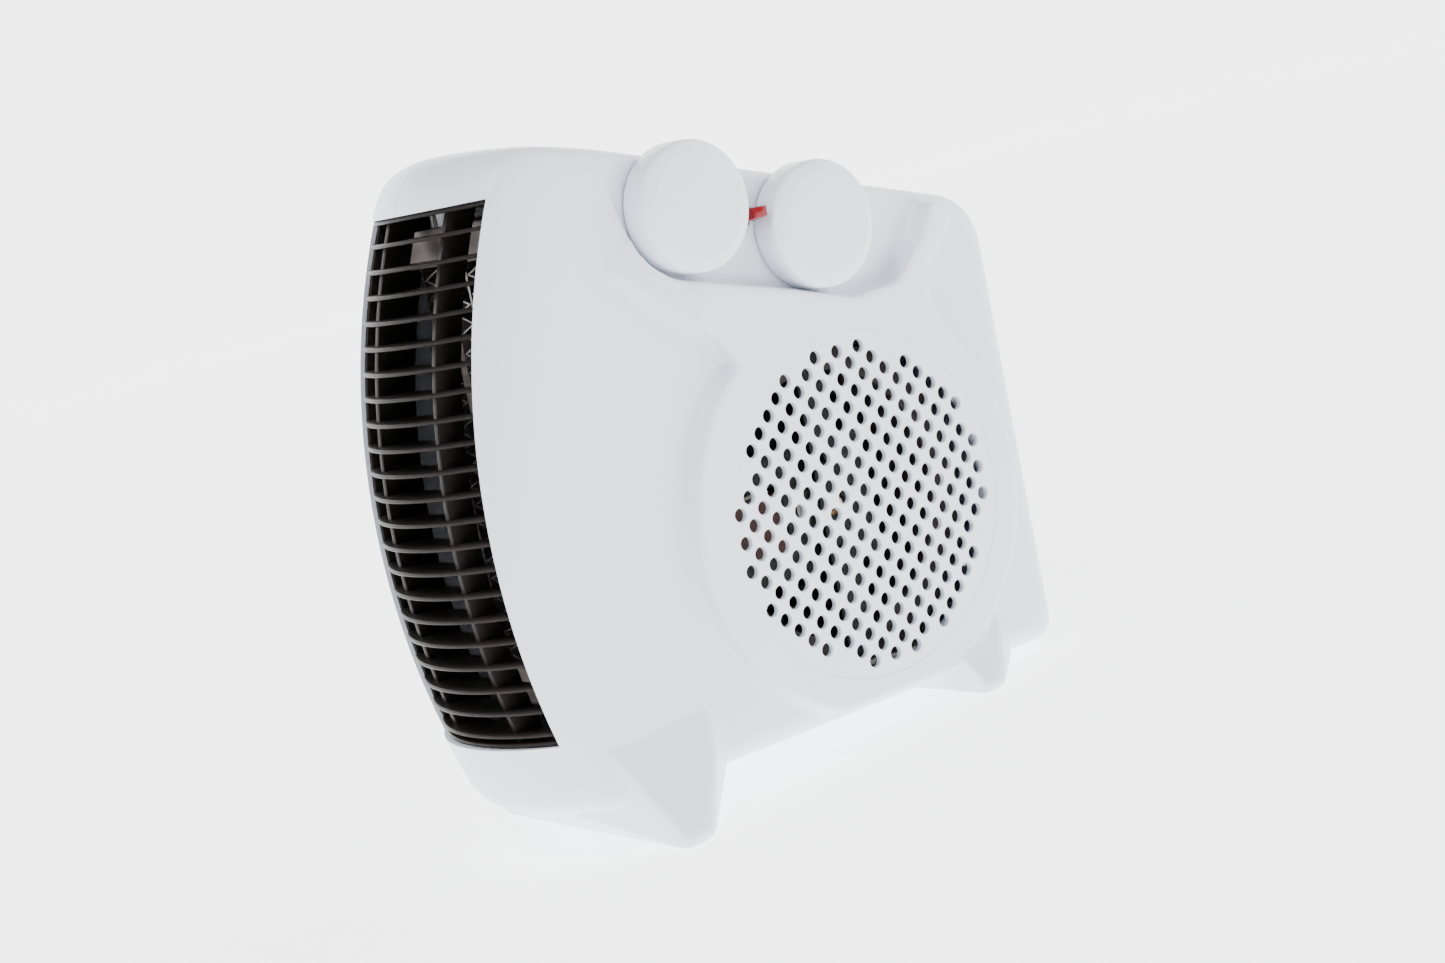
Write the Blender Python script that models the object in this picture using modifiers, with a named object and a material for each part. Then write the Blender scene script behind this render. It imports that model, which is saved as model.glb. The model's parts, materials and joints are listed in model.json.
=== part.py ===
"""Upright ceramic fan heater: two casing shells, a fan, a PTC heating element and its controls.

All lengths are in millimetres and new_object() turns them into metres.  Shapes are laid out in the
casing's own frame: +X comes out of the intake side, -Y is the warm-air outlet, +Z is up, and the
intake's centre line is the X axis, which is also the fan's axis.  The casing leans back a little on
its feet, so every part hangs from one empty that carries that lean.
"""
import math

import bmesh
import bpy
from mathutils import Matrix, Vector

# ---- casing, overall
PANEL_HALF = 46.0  # mid-plane to the flat side panels
PLATEAU_RISE = 6.5  # the intake side stands this far out from its panel
WALL = 2.5
SEAM_GAP = 0.3  # between the two shells
FIT = 0.3  # between pieces that touch
FRONT_AXIS_Y = 112.5  # the bowed front is part of a drum about this line
FRONT_AXIS_Z = 20.6
FRONT_RADIUS = 274.7
PLAN_RADIUS = 68.4  # the same front seen from above
FLANK_DEPTH = 30.0  # how far the front's flank runs back before it is flat
REAR_Y = 91.5
BOTTOM_Z = -78.0
TOP_KNEE_Y = -70.0  # the top is straight behind this point and curved before it
TOP_KNEE_Z = 144.8
TOP_SLOPE = math.radians(15.7)
TOP_RADIUS = 290.0
CROWN = 2.0
EDGE_RADIUS = 9.0
PLAN_STATIONS = (14.0, 26.0)  # where the half casing's outline is drawn between seam and grille edge
EDGE_STATIONS = (3.6, 1.2, 0.0)  # and, measured in from the panel, across its rounded edge
FRONT_SPANS = 8
BOTTOM_CORNER = 11.0  # how far the soft corners of the side view reach
REAR_CORNER = 8.0
TOP_REAR_CORNER = 17.0
TOP_FRONT_CORNER = 15.0
FRONT_TOP_CORNER = 14.0
LEAN = math.radians(4.04)

SLIVER = 0.004  # edges shorter than this are closed up after a cut
FAR = 90.0  # a cut that runs out of the casing goes this far
BEYOND = 200.0

# ---- feet
FOOT_REACH = 15.0  # out from the side panel
FOOT_CORNER = 3.0
FRONT_FOOT_Y = -111.3
FRONT_FOOT_Z = -93.8
FRONT_SOLE = 12.0
REAR_FOOT_Y = 34.7
REAR_SOLE = 10.0

# ---- raised intake side and its perforated panel
PLATEAU_RADIUS = 78.0
PLATEAU_DRAFT = (3.0, -2.0)  # its outline grows by the first at the foot and by the second at the top
RAMP_START = (-92.0, 110.0)  # the raised side's top slopes up from here,
RAMP_WAY = (0.8, -0.6)  # in this direction,
RAMP_SLOPE = 0.155  # by this much
HOLE_PITCH = 7.3
HOLE_RADIUS = 2.6
HOLE_FIELD = 7.95  # radius of the perforated field, in pitches
HOLE_STEPS = 8
INTAKE_RADIUS = 64.0
INTAKE_THICK = 2.4
INTAKE_LEDGE = 3.5

# ---- control recess
RECESS_SINK = 3.0  # the recess floor lies this far in from the side panel
RECESS_FRONT = -79.0
KNOB_RADIUS = 23.35
KNOB_HEIGHT = 13.0
KNOB_LIFT = 1.0
KNOB_CLEAR = 1.7
KNOB_WALL = 2.2
KNOB_HUB_WALL = 2.4
KNOB_EDGE = ((3.2, 0.0), (1.4, 0.6), (0.3, 2.0))  # the knob's chamfer, in from its side and its face
POWER_Y = -50.6
POWER_Z = 119.2
THERMOSTAT_Y = 3.9
THERMOSTAT_Z = 103.2
SPINDLE_RADIUS = 3.0
SPINDLE_RUN = 0.35  # running clearance round a spindle
LENS_Y = -23.4
LENS_Z = 111.5
LENS_WIDTH = 5.8
LENS_HEIGHT = 6.4
LENS_REACH = 12.0
LENS_FLANGE = 1.4
LENS_LAP = 1.5
LAMP_LENGTH = 14.0
LAMP_RADIUS = 2.8
SPINDLE_HOLE_CLEAR = 1.5
BIMETAL_THICK = 1.2
BIMETAL_WIDTH = 8.0
SWITCH_SIZE = 22.0
SWITCH_DEPTH = 20.0
SPINDLE_SOCKET = 9.0

# ---- outlet grille
GRILLE_HALF = 38.7
SLAT_COUNT = 21
SLAT_TOP = 127.1
SLAT_BOTTOM = -44.5
SLAT_THICK = 1.5
SLAT_HEEL = 3.5  # a slat's depth at its ends; its nose is bowed and its back is straight
GRILLE_INSET = 2.0  # how far the grille lies behind the casing's front
RAIL_DEPTH = 22.0
GRILLE_MARGIN = 9.0
RIB_X = 20.0
RIB_THICK = 2.4
RIB_DEPTH = 15.5
RAIL_THICK = 1.8
WINDOW_BACK = -112.0  # the outlet window is cut from the front back to here

# ---- heating element
ELEMENT_TOP = 116.0
ELEMENT_BOTTOM = -31.0
ELEMENT_Y = -107.0
ELEMENT_DEPTH = 14.0
HOLDER_DEPTH = 21.0
HOLDER_HEIGHT = 13.0
HOLDER_HALF = 36.0
FIN_MARGIN = 1.0  # the fins stop this short of the electrode strips' ends
CUTOUT_RADIUS = 7.0
CUTOUT_HEIGHT = 5.0
CUTOUT_X = -14.0
FUSE_RADIUS = 2.0
FUSE_SPAN = (2.0, 16.0)
FIN_WIDTH = 11.4
FIN_PITCH = 7.0
FIN_THICK = 0.5
BAR_WIDTH = 4.6
STRIP_THICK = 1.2

# ---- fan and motor
IMPELLER_RADIUS = 52.0
IMPELLER_BACK = -38.0
IMPELLER_WIDTH = 40.0
BLADE_COUNT = 24
BLADE_THICK = 1.2
BLADE_DEPTH = 9.0
BLADE_SWEEP = 8.0  # degrees from a blade's root to its tip
HUB_RADIUS = 7.0
HUB_LENGTH = 18.0
DISC_THICK = 1.8
RING_WIDTH = 2.5
RING_THICK = 2.0
CLIP_RADIUS = 5.0
CLIP_THICK = 1.7
SHAFT_RADIUS = 2.5
SHAFT_RUN = 0.3
SCROLL_CLEAR = 4.5
SCROLL_GROWTH = 7.5
SCROLL_WALL = 2.0
SCROLL_TOP = 30.0
INLET_LAP = 2.0  # the inlet hole is this much smaller than the impeller
INLET_THICK = 2.0
STACK_BACK = 12.0
STACK_THICK = 16.0
STACK_HALF = 24.0
ROTOR_RADIUS = 13.0
AIR_GAP = 0.5
STACK_FRONT = -41.5
STACK_REAR = 22.0
LIMB_WIDTH = 10.0
LIMB_LENGTH = 24.6
WINDOW_WIDTH = 12.5
BOBBIN_WALL = 1.0
COIL_WALL = 5.0
BEARING_RADIUS = 6.0
BEARING_WIDTH = 4.7
BRACKET_WIDTH = 14.0
MOTOR_SCREW_Z = 19.0
MOUNT_THICK = 2.0
MOUNT_LAP = 8.0
MOTOR_HEAD = 2.2

# ---- fasteners
SCREW_RADIUS = 1.6
SCREW_HEAD = 3.4
SCREW_GRIP = 12.0
SCREW_HEAD_THICK = 2.4
SCREW_SEAT = 14.0
BOSS_RADIUS = 6.4
CASING_SCREWS = ((-104, 142.5), (-27, 122), (78, 84), (79, -66), (-131, -61))

# ---- mains inlet and wiring
GLAND_NECK = 5.4
GLAND_FLANGE = 8.4
GLAND_BORE = 3.4
GLAND_RIM = 2.2
GLAND_LIP = 3.0
GLAND_Z = -45.0
TERMINAL_Y = 53.0
TERMINAL_HEIGHT = 9.0
TERMINAL_WIDTH = 20.0
TERMINAL_LENGTH = 18.0
WIRE_RADIUS = 1.1
LIVE_LEAD_DEPTH = 12.2  # how far behind the switches' faces each lead joins its switch
LINK_LEAD_DEPTH = 14.2
MOTOR_LEAD_DEPTH = 11.2
ELEMENT_LEAD_DEPTHS = (16.2, 10.2)
ELEMENT_LEAD_ENDS = (24.0, 30.0)

PLATEAU_HALF = PANEL_HALF + PLATEAU_RISE
RECESS_FLOOR = PANEL_HALF - RECESS_SINK
INLET_RADIUS = IMPELLER_RADIUS - INLET_LAP
INNER_HALF = PANEL_HALF - WALL
KNOB_BASE = RECESS_FLOOR + KNOB_LIFT
KNOB_FACE = KNOB_BASE + KNOB_HEIGHT
SPINDLE_TOP = KNOB_FACE - KNOB_WALL - FIT
SWITCH_FACE = RECESS_FLOOR - WALL - FIT
INTAKE_BACK = PLATEAU_HALF - INTAKE_THICK - 0.1
INTAKE_SEAT = INTAKE_BACK - FIT
SPINDLE_FOOT = SWITCH_FACE - SPINDLE_SOCKET
INLET_BACK = SCROLL_TOP + FIT
MOUNT_BACK = INLET_BACK + INLET_THICK + FIT
STACK_TOP = STACK_BACK + STACK_THICK


# ------------------------------------------------------------------ collections, materials, objects
for leftover in list(bpy.data.objects):
    bpy.data.objects.remove(leftover, do_unlink=True)

parts = bpy.data.collections.new("ceramic_heater")
bpy.context.scene.collection.children.link(parts)

stand = bpy.data.objects.new("stand_lean", None)
parts.objects.link(stand)
stand.rotation_euler = (-LEAN, 0.0, 0.0)


def material(name, colour, roughness, metallic=0.0, alpha=1.0):
    made = bpy.data.materials.get(name)
    if made is None:
        made = bpy.data.materials.new(name)
        made.use_nodes = True
        shader = made.node_tree.nodes["Principled BSDF"]
        shader.inputs["Base Color"].default_value = (*colour, 1.0)
        shader.inputs["Roughness"].default_value = roughness
        shader.inputs["Metallic"].default_value = metallic
        shader.inputs["Alpha"].default_value = alpha
    return made


TO_X = Matrix.Rotation(math.radians(90), 4, "Y")
X_TO_Y = Matrix.Rotation(math.radians(90), 4, "Z")
X_TO_Z = Matrix.Rotation(math.radians(-90), 4, "Y")

WHITE = material("white_casing", (0.80, 0.81, 0.84), 0.45)
SMOKED = material("smoked_grille", (0.05, 0.04, 0.038), 0.2, alpha=0.7)
BLACK = material("black_moulding", (0.02, 0.02, 0.02), 0.5)
RED = material("red_lens", (0.35, 0.0, 0.01), 0.15)
GLASS = material("lamp_glass", (0.8, 0.75, 0.7), 0.1)
STEEL = material("steel", (0.55, 0.55, 0.56), 0.35, 1.0)
ALUMINIUM = material("aluminium", (0.75, 0.75, 0.76), 0.4, 1.0)
BRASS = material("brass", (0.7, 0.5, 0.2), 0.4, 1.0)
COPPER = material("copper_winding", (0.5, 0.16, 0.06), 0.35, 0.8)
CERAMIC = material("heating_ceramic", (0.28, 0.25, 0.22), 0.8)
PHENOLIC = material("brown_phenolic", (0.16, 0.09, 0.05), 0.5)
NYLON = material("natural_nylon", (0.75, 0.72, 0.64), 0.5)


def new_object(name, mesh, look=None):
    """Link a mesh that is laid out in millimetres as a named part."""
    mesh.transform(Matrix.Scale(0.001, 4))
    mesh.name = name
    made = bpy.data.objects.new(name, mesh)
    parts.objects.link(made)
    made.parent = stand
    if look:
        mesh.materials.clear()
        mesh.materials.append(look)
    return made


def evaluated(holder):
    """The mesh of an object with its modifiers and curves worked out."""
    graph = bpy.context.evaluated_depsgraph_get()
    return bpy.data.meshes.new_from_object(holder.evaluated_get(graph))


def mesh_from(work):
    mesh = bpy.data.meshes.new("piece")
    bmesh.ops.recalc_face_normals(work, faces=work.faces)
    work.to_mesh(mesh)
    work.free()
    return mesh


# ------------------------------------------------------------------ shapes, in millimetres
def box(x, y, z):
    """A block from three (low, high) pairs."""
    work = bmesh.new()
    size = (x[1] - x[0], y[1] - y[0], z[1] - z[0])
    centre = ((x[0] + x[1]) / 2, (y[0] + y[1]) / 2, (z[0] + z[1]) / 2)
    place = Matrix.Translation(centre) @ Matrix.Diagonal((*size, 1.0))
    bmesh.ops.create_cube(work, size=1.0, matrix=place)
    return mesh_from(work)


def rod(radius, x, y=0.0, z=0.0, sides=24, end_radius=None):
    """A cylinder or cone along X, from x[0] to x[1]."""
    work = bmesh.new()
    place = Matrix.Translation(((x[0] + x[1]) / 2, y, z)) @ TO_X
    bmesh.ops.create_cone(work, cap_ends=True, segments=sides, radius1=radius,
                          radius2=radius if end_radius is None else end_radius,
                          depth=x[1] - x[0], matrix=place)
    return mesh_from(work)


def hull(points):
    """The closed convex solid round some points."""
    work = bmesh.new()
    for point in points:
        work.verts.new(point)
    made = bmesh.ops.convex_hull(work, input=work.verts)
    loose = [item for item in made["geom_interior"] if isinstance(item, bmesh.types.BMVert)]
    bmesh.ops.delete(work, geom=loose, context="VERTS")
    return mesh_from(work)


def sheet(outlines, low, high, axis="X"):
    """Flat outlines (the first is the edge, the others are holes) thickened along an axis."""
    curve = bpy.data.curves.new("outline", "CURVE")
    curve.dimensions = "2D"
    curve.fill_mode = "BOTH"
    curve.extrude = (high - low) / 2
    for outline in outlines:
        spline = curve.splines.new("POLY")
        spline.points.add(len(outline) - 1)
        spline.use_cyclic_u = True
        for point, (a, b) in zip(spline.points, outline):
            point.co = (a, b, 0.0, 1.0)
    holder = bpy.data.objects.new("outline", curve)
    bpy.context.scene.collection.objects.link(holder)
    mesh = evaluated(holder)
    bpy.data.objects.remove(holder, do_unlink=True)
    middle = (low + high) / 2
    if axis == "X":
        mesh.transform(Matrix(((0, 0, 1, middle), (1, 0, 0, 0), (0, 1, 0, 0), (0, 0, 0, 1))))
    elif axis == "Y":
        mesh.transform(Matrix(((1, 0, 0, 0), (0, 0, -1, middle), (0, 1, 0, 0), (0, 0, 0, 1))))
    else:
        mesh.transform(Matrix.Translation((0, 0, middle)))
    work = bmesh.new()
    work.from_mesh(mesh)
    bmesh.ops.remove_doubles(work, verts=work.verts, dist=0.001)
    return mesh_from(work)


def turned(profile, y, z, sides=32):
    """A profile of (radius, x) points from the axis round to the axis, turned about X."""
    mesh = bpy.data.meshes.new("profile")
    points = [(radius, 0.0, height) for radius, height in profile]
    mesh.from_pydata(points, [(i, i + 1) for i in range(len(points) - 1)], [])
    holder = bpy.data.objects.new("profile", mesh)
    bpy.context.scene.collection.objects.link(holder)
    screw = holder.modifiers.new("turn", "SCREW")
    screw.steps = sides
    screw.render_steps = sides
    screw.use_merge_vertices = True
    screw.merge_threshold = 0.0001
    made = evaluated(holder)
    bpy.data.objects.remove(holder, do_unlink=True)
    made.transform(TO_X)
    made.transform(Matrix.Translation((0, y, z)))
    work = bmesh.new()
    work.from_mesh(made)
    bmesh.ops.remove_doubles(work, verts=work.verts, dist=0.001)
    return mesh_from(work)


def without_slivers(mesh):
    """The mesh with the edges and triangles that have almost no size closed up."""
    work = bmesh.new()
    work.from_mesh(mesh)
    bmesh.ops.triangulate(work, faces=work.faces, ngon_method="EAR_CLIP")
    bmesh.ops.dissolve_degenerate(work, dist=SLIVER, edges=work.edges)
    work.to_mesh(mesh)
    work.free()
    return mesh


def combine(base, tools, operation, solver="EXACT"):
    """Cut tools from a mesh, or join them to it, and return the new mesh."""
    holder = bpy.data.objects.new("base", base)
    bpy.context.scene.collection.objects.link(holder)
    helpers = []
    for tool in tools:
        helper = bpy.data.objects.new("tool", tool)
        bpy.context.scene.collection.objects.link(helper)
        helpers.append(helper)
        change = holder.modifiers.new("change", "BOOLEAN")
        change.operation = operation
        change.solver = solver
        change.object = helper
    made = evaluated(holder)
    for helper in [holder, *helpers]:
        bpy.data.objects.remove(helper, do_unlink=True)
    return without_slivers(made)


def cut(base, *tools):
    return combine(base, tools, "DIFFERENCE")


def join(base, *tools):
    return combine(base, tools, "UNION")


def largest_body(mesh):
    """The mesh without the flat slivers that a cut can leave beside the real body."""
    work = bmesh.new()
    work.from_mesh(mesh)
    bodies = []
    seen = set()
    for start in work.verts:
        if start in seen:
            continue
        body = [start]
        seen.add(start)
        for vertex in body:
            for edge in vertex.link_edges:
                other = edge.other_vert(vertex)
                if other not in seen:
                    seen.add(other)
                    body.append(other)
        bodies.append(body)
    bodies.sort(key=len)
    for body in bodies[:-1]:
        bmesh.ops.delete(work, geom=body, context="VERTS")
    kept = bpy.data.meshes.new("shell")
    work.to_mesh(kept)
    work.free()
    return kept


def cut_shell(base, *tools):
    """The same for the casing's many-sided solids, which the exact solver loses."""
    return combine(base, tools, "DIFFERENCE", "MANIFOLD")


def join_shell(base, *tools):
    return combine(base, tools, "UNION", "MANIFOLD")


def mirrored(mesh):
    """The same mesh on the other side of the mid-plane."""
    work = bmesh.new()
    work.from_mesh(mesh)
    bmesh.ops.transform(work, matrix=Matrix.Scale(-1.0, 4, (1, 0, 0)), verts=work.verts)
    bmesh.ops.reverse_faces(work, faces=work.faces)
    flipped = bpy.data.meshes.new("mirrored")
    work.to_mesh(flipped)
    work.free()
    return flipped


# ------------------------------------------------------------------ the casing's outline
def front_y(z, inset=0.0):
    reach = (FRONT_RADIUS - inset) ** 2 - (z - FRONT_AXIS_Z) ** 2
    return FRONT_AXIS_Y - math.sqrt(reach)


def top_z(y, inset=0.0):
    if y >= TOP_KNEE_Y:
        return TOP_KNEE_Z - (y - TOP_KNEE_Y) * math.tan(TOP_SLOPE) - inset
    axis_y = TOP_KNEE_Y - TOP_RADIUS * math.sin(TOP_SLOPE)
    axis_z = TOP_KNEE_Z - TOP_RADIUS * math.cos(TOP_SLOPE)
    return axis_z + math.sqrt(TOP_RADIUS ** 2 - (y - axis_y) ** 2) - inset


def rounded(before, corner, after, steps=3):
    """Points of a soft corner."""
    points = []
    for step in range(steps + 1):
        t = step / steps
        points.append(tuple(
            (1 - t) ** 2 * a + 2 * t * (1 - t) * b + t * t * c
            for a, b, c in zip(before, corner, after)))
    return points


def outline(front_inset=0.0, edge_inset=0.0):
    """The casing's side view as (y, z) points, anticlockwise seen from +X."""
    low = BOTTOM_Z + edge_inset
    rear = REAR_Y - edge_inset
    knee = low + BOTTOM_CORNER
    bottom_front = (front_y(low, front_inset), low)
    y = FRONT_AXIS_Y - FRONT_RADIUS
    for _ in range(20):
        y = front_y(top_z(y, edge_inset), front_inset)
    top_front = (y, top_z(y, edge_inset))
    top_rear = (rear, top_z(rear, edge_inset))
    top = top_front[1] - FRONT_TOP_CORNER
    crown = y + TOP_FRONT_CORNER
    points = rounded((front_y(knee, front_inset), knee), bottom_front, (bottom_front[0] + BOTTOM_CORNER, low))
    points += rounded((rear - REAR_CORNER, low), (rear, low), (rear, low + REAR_CORNER))
    points += rounded((rear, top_rear[1] - TOP_REAR_CORNER), top_rear,
                      (rear - TOP_REAR_CORNER, top_z(rear - TOP_REAR_CORNER, edge_inset)))
    points.append((TOP_KNEE_Y, top_z(TOP_KNEE_Y, edge_inset)))
    crest = (TOP_KNEE_Y + crown) / 2
    points.append((crest, top_z(crest, edge_inset)))
    points += rounded((crown, top_z(crown, edge_inset)), top_front, (front_y(top, front_inset), top))
    for step in range(1, FRONT_SPANS):
        z = top + (knee - top) * step / FRONT_SPANS
        points.append((front_y(z, front_inset), z))
    return points


def front_drop(x, half):
    """How far the front has curved back at this distance from the mid-plane."""
    drop = PLAN_RADIUS - math.sqrt(PLAN_RADIUS ** 2 - min(x, GRILLE_HALF) ** 2)
    if x > GRILLE_HALF:
        along = min(1.0, (x - GRILLE_HALF) / (half - GRILLE_HALF))
        slope = GRILLE_HALF / math.sqrt(PLAN_RADIUS ** 2 - GRILLE_HALF ** 2)
        drop += slope * (x - GRILLE_HALF)
        drop += (FLANK_DEPTH - EDGE_RADIUS) * (1 - math.sqrt(1 - along ** 2))
    return drop


def edge_drop(x, half):
    """How far the top, rear and bottom have rounded in at this distance from the mid-plane."""
    fall = CROWN * (x / half) ** 2
    over = x - (half - EDGE_RADIUS)
    if over > 0:
        fall += EDGE_RADIUS - math.sqrt(max(0.0, EDGE_RADIUS ** 2 - over ** 2))
    return fall


def loft(rings):
    """A closed solid through outlines of equal length, given as (x, points) pairs."""
    work = bmesh.new()
    loops = [[work.verts.new((x, y, z)) for y, z in points] for x, points in rings]
    for near, far in zip(loops, loops[1:]):
        for i in range(len(near)):
            j = (i + 1) % len(near)
            work.faces.new((near[i], near[j], far[j], far[i]))
    work.faces.new(loops[0])
    work.faces.new(loops[-1])
    bmesh.ops.recalc_face_normals(work, faces=work.faces)
    bmesh.ops.triangulate(work, faces=work.faces, ngon_method="EAR_CLIP")
    return mesh_from(work)


def casing_form(start, inset):
    """Half the casing as a loft of outlines from the mid-plane out to the side panel."""
    half = PANEL_HALF - inset
    stations = [start, *PLAN_STATIONS, GRILLE_HALF - inset, *[half - back for back in EDGE_STATIONS]]
    return loft([(x, outline(front_drop(x, half) + inset, edge_drop(x, half) + inset))
                 for x in stations])


def arc(radius, start, end, steps, y=0.0, z=0.0):
    """Points (y, z) on an arc, angles in degrees from +Y."""
    turn = [math.radians(start + (end - start) * step / steps) for step in range(steps + 1)]
    return [(y + radius * math.cos(a), z + radius * math.sin(a)) for a in turn]


def recess_outline(grow=0.0):
    """The control recess as seen from the side, round the knobs and open past the casing's top."""
    left = RECESS_FRONT - grow
    corner = arc(KNOB_RADIUS + KNOB_CLEAR + grow, 195, 262, 4, POWER_Y, POWER_Z)
    return [(left, BEYOND), (left, 134), *corner,
            (-22, 86 - grow), (13, 75.5 - grow), (34 + grow, 77 - grow), (50 + grow, 90),
            (61 + grow, 106), (61 + grow, BEYOND)]


def plateau_outline(grow=0.0):
    """The raised intake side: a round field with a neck that runs up to the control recess."""
    ring = arc(PLATEAU_RADIUS + grow, 40, -226, 38)
    neck = [(-46 - grow, 62), (-52 - grow, 73), (-66 - grow, 82), (-88 - grow, 104), (-72, 116),
            (-22, 96), (34, 88), (58, 107), (72 + grow, 96), (54 + grow, 79), (51 + grow, 66)]
    return ring + neck


def under_ramp(inset):
    """What lies under the slope that lets the raised side fade out towards its upper front corner."""
    points = []
    for y, z in ((-BEYOND, -BEYOND), (-BEYOND, BEYOND), (BEYOND, -BEYOND), (BEYOND, BEYOND)):
        along = ((y - RAMP_START[0]) * RAMP_WAY[0] + (z - RAMP_START[1]) * RAMP_WAY[1])
        points += [(0, y, z), (PANEL_HALF - 0.5 - inset + RAMP_SLOPE * along, y, z)]
    return hull(points)


def plateau_form(inset):
    """The raised side, drafted, and trimmed to the casing's own rounded edge."""
    foot, top = PLATEAU_DRAFT
    raised = loft([(30, plateau_outline(foot - inset)), (PLATEAU_HALF - inset, plateau_outline(top - inset))])
    trim = sheet([outline(25 + inset, EDGE_RADIUS - 2 + inset)], 20, PLATEAU_HALF + 5)
    return combine(raised, [trim, under_ramp(inset)], "INTERSECT", "MANIFOLD")


def sole_z(y):
    """Height of the floor under the casing, in the casing's own frame."""
    return FRONT_FOOT_Z + (y - FRONT_FOOT_Y) * math.tan(LEAN)


def front_foot(start):
    reach = PANEL_HALF + FOOT_REACH
    low = FRONT_FOOT_Y
    back = FRONT_FOOT_Y + FRONT_SOLE
    panel = PANEL_HALF - 2
    corner = FOOT_CORNER
    return [(start, low, sole_z(low)), (start, back, sole_z(back)), (start, low - 5, -86),
            (start, -132, -76), (start, back + 8, -76),
            (reach - corner, low, sole_z(low)), (reach - corner, back, sole_z(back)),
            (reach, low + corner, sole_z(low) + corner), (reach, back - corner, sole_z(back) + corner),
            (panel, -128, -54), (panel, -80, -54), (panel, -77, -74)]


def rear_foot(start):
    reach = PANEL_HALF + FOOT_REACH - 1
    low = REAR_FOOT_Y
    back = REAR_FOOT_Y + REAR_SOLE
    panel = PLATEAU_HALF - 4
    corner = FOOT_CORNER
    return [(start, low, sole_z(low)), (start, back, sole_z(back)),
            (start, low - 4, -76), (start, back + 6, -76),
            (reach - corner, low, sole_z(low)), (reach - corner, back, sole_z(back)),
            (reach, low + corner, sole_z(low) + corner), (reach, back - corner, sole_z(back) + corner),
            (panel, 29, -60), (panel, 58, -60), (panel, 60, -74)]


# ------------------------------------------------------------------ shells
def outer_form(start):
    body = casing_form(start, 0.0)
    return join_shell(body, plateau_form(0.0), hull(front_foot(start)), hull(rear_foot(start)))


def outlet_window():
    low = SLAT_BOTTOM - GRILLE_MARGIN / 2
    high = SLAT_TOP + GRILLE_MARGIN
    return box((-GRILLE_HALF, GRILLE_HALF), (-BEYOND, WINDOW_BACK), (low, high))


def gland_hole():
    hole = rod(GLAND_NECK + FIT, (REAR_Y - 8, REAR_Y + 8), sides=20)
    hole.transform(X_TO_Y)
    hole.transform(Matrix.Translation((0, 0, GLAND_Z)))
    return hole


def right_shell():
    start = SEAM_GAP / 2
    form = cut_shell(outer_form(start), sheet([recess_outline()], RECESS_FLOOR, FAR))
    cavity = casing_form(-1.0, WALL)
    cavity = join_shell(cavity, plateau_form(WALL))
    floor = sheet([recess_outline(WALL)], RECESS_FLOOR - WALL, FAR)
    ledge = rod(INTAKE_RADIUS + WALL, (INTAKE_SEAT - WALL, FAR), sides=64)
    bosses = [rod(BOSS_RADIUS, (-9, FAR), y, z, 16) for y, z in CASING_SCREWS]
    form = cut_shell(form, cut_shell(cavity, floor, ledge, *bosses))
    openings = [outlet_window(), gland_hole(),
                rod(INTAKE_RADIUS - INTAKE_LEDGE, (20, FAR), sides=64),
                rod(INTAKE_RADIUS + FIT, (INTAKE_SEAT, FAR), sides=64),
                box((30, FAR), (LENS_Y - LENS_WIDTH / 2 - FIT, LENS_Y + LENS_WIDTH / 2 + FIT),
                    (LENS_Z - LENS_HEIGHT / 2 - FIT, LENS_Z + LENS_HEIGHT / 2 + FIT))]
    for y, z in ((POWER_Y, POWER_Z), (THERMOSTAT_Y, THERMOSTAT_Z)):
        openings.append(rod(SPINDLE_RADIUS + SPINDLE_HOLE_CLEAR, (30, FAR), y, z))
    for y, z in CASING_SCREWS:
        openings.append(rod(SCREW_RADIUS + 2 * FIT, (-9, SCREW_GRIP + 3), y, z, 8))
    new_object("right_shell", largest_body(cut_shell(form, *openings)), WHITE)


def left_shell():
    start = SEAM_GAP / 2
    form = join_shell(casing_form(start, 0.0), hull(front_foot(start)), hull(rear_foot(start)))
    bosses = [rod(BOSS_RADIUS, (-9, FAR), y, z, 16) for y, z in CASING_SCREWS]
    form = cut_shell(form, cut_shell(casing_form(-1.0, WALL), *bosses))
    openings = [outlet_window(), gland_hole()]
    for y, z in CASING_SCREWS:
        openings.append(rod(SCREW_RADIUS + 2 * FIT, (-9, FAR), y, z, 8))
        openings.append(rod(SCREW_HEAD + 2 * FIT, (SCREW_SEAT, FAR), y, z, 16))
    new_object("left_shell", mirrored(cut_shell(form, *openings)), WHITE)


def intake_grille():
    holes = []
    for i in range(-HOLE_STEPS, HOLE_STEPS):
        for j in range(-HOLE_STEPS, HOLE_STEPS):
            a = i + 0.5
            b = j + 0.5
            mark = {abs(a), abs(b)} == {7.5, 2.5} and a * b * (a * a - b * b) > 0
            if mark or math.hypot(a, b) > HOLE_FIELD:
                continue
            y = (a + b) * HOLE_PITCH / math.sqrt(2)
            z = (b - a) * HOLE_PITCH / math.sqrt(2)
            holes.append(arc(HOLE_RADIUS, 45, 315, 3, y, z))
    rim = arc(INTAKE_RADIUS, 0, 352.5, 47)
    new_object("intake_grille", sheet([rim, *holes], INTAKE_BACK, INTAKE_BACK + INTAKE_THICK), WHITE)


# ------------------------------------------------------------------ outlet grille
def front_band(near, far, low, high, half, steps=6):
    """An upright band that follows the bowed front, from near to far behind it."""
    drop = front_drop(half, PANEL_HALF)
    heights = [low + (high - low) * step / steps for step in range(steps + 1)]
    outer = [(front_y(z, drop + near), z) for z in heights]
    inner = [(front_y(z, drop + far), z) for z in reversed(heights)]
    return outer + inner


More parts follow.
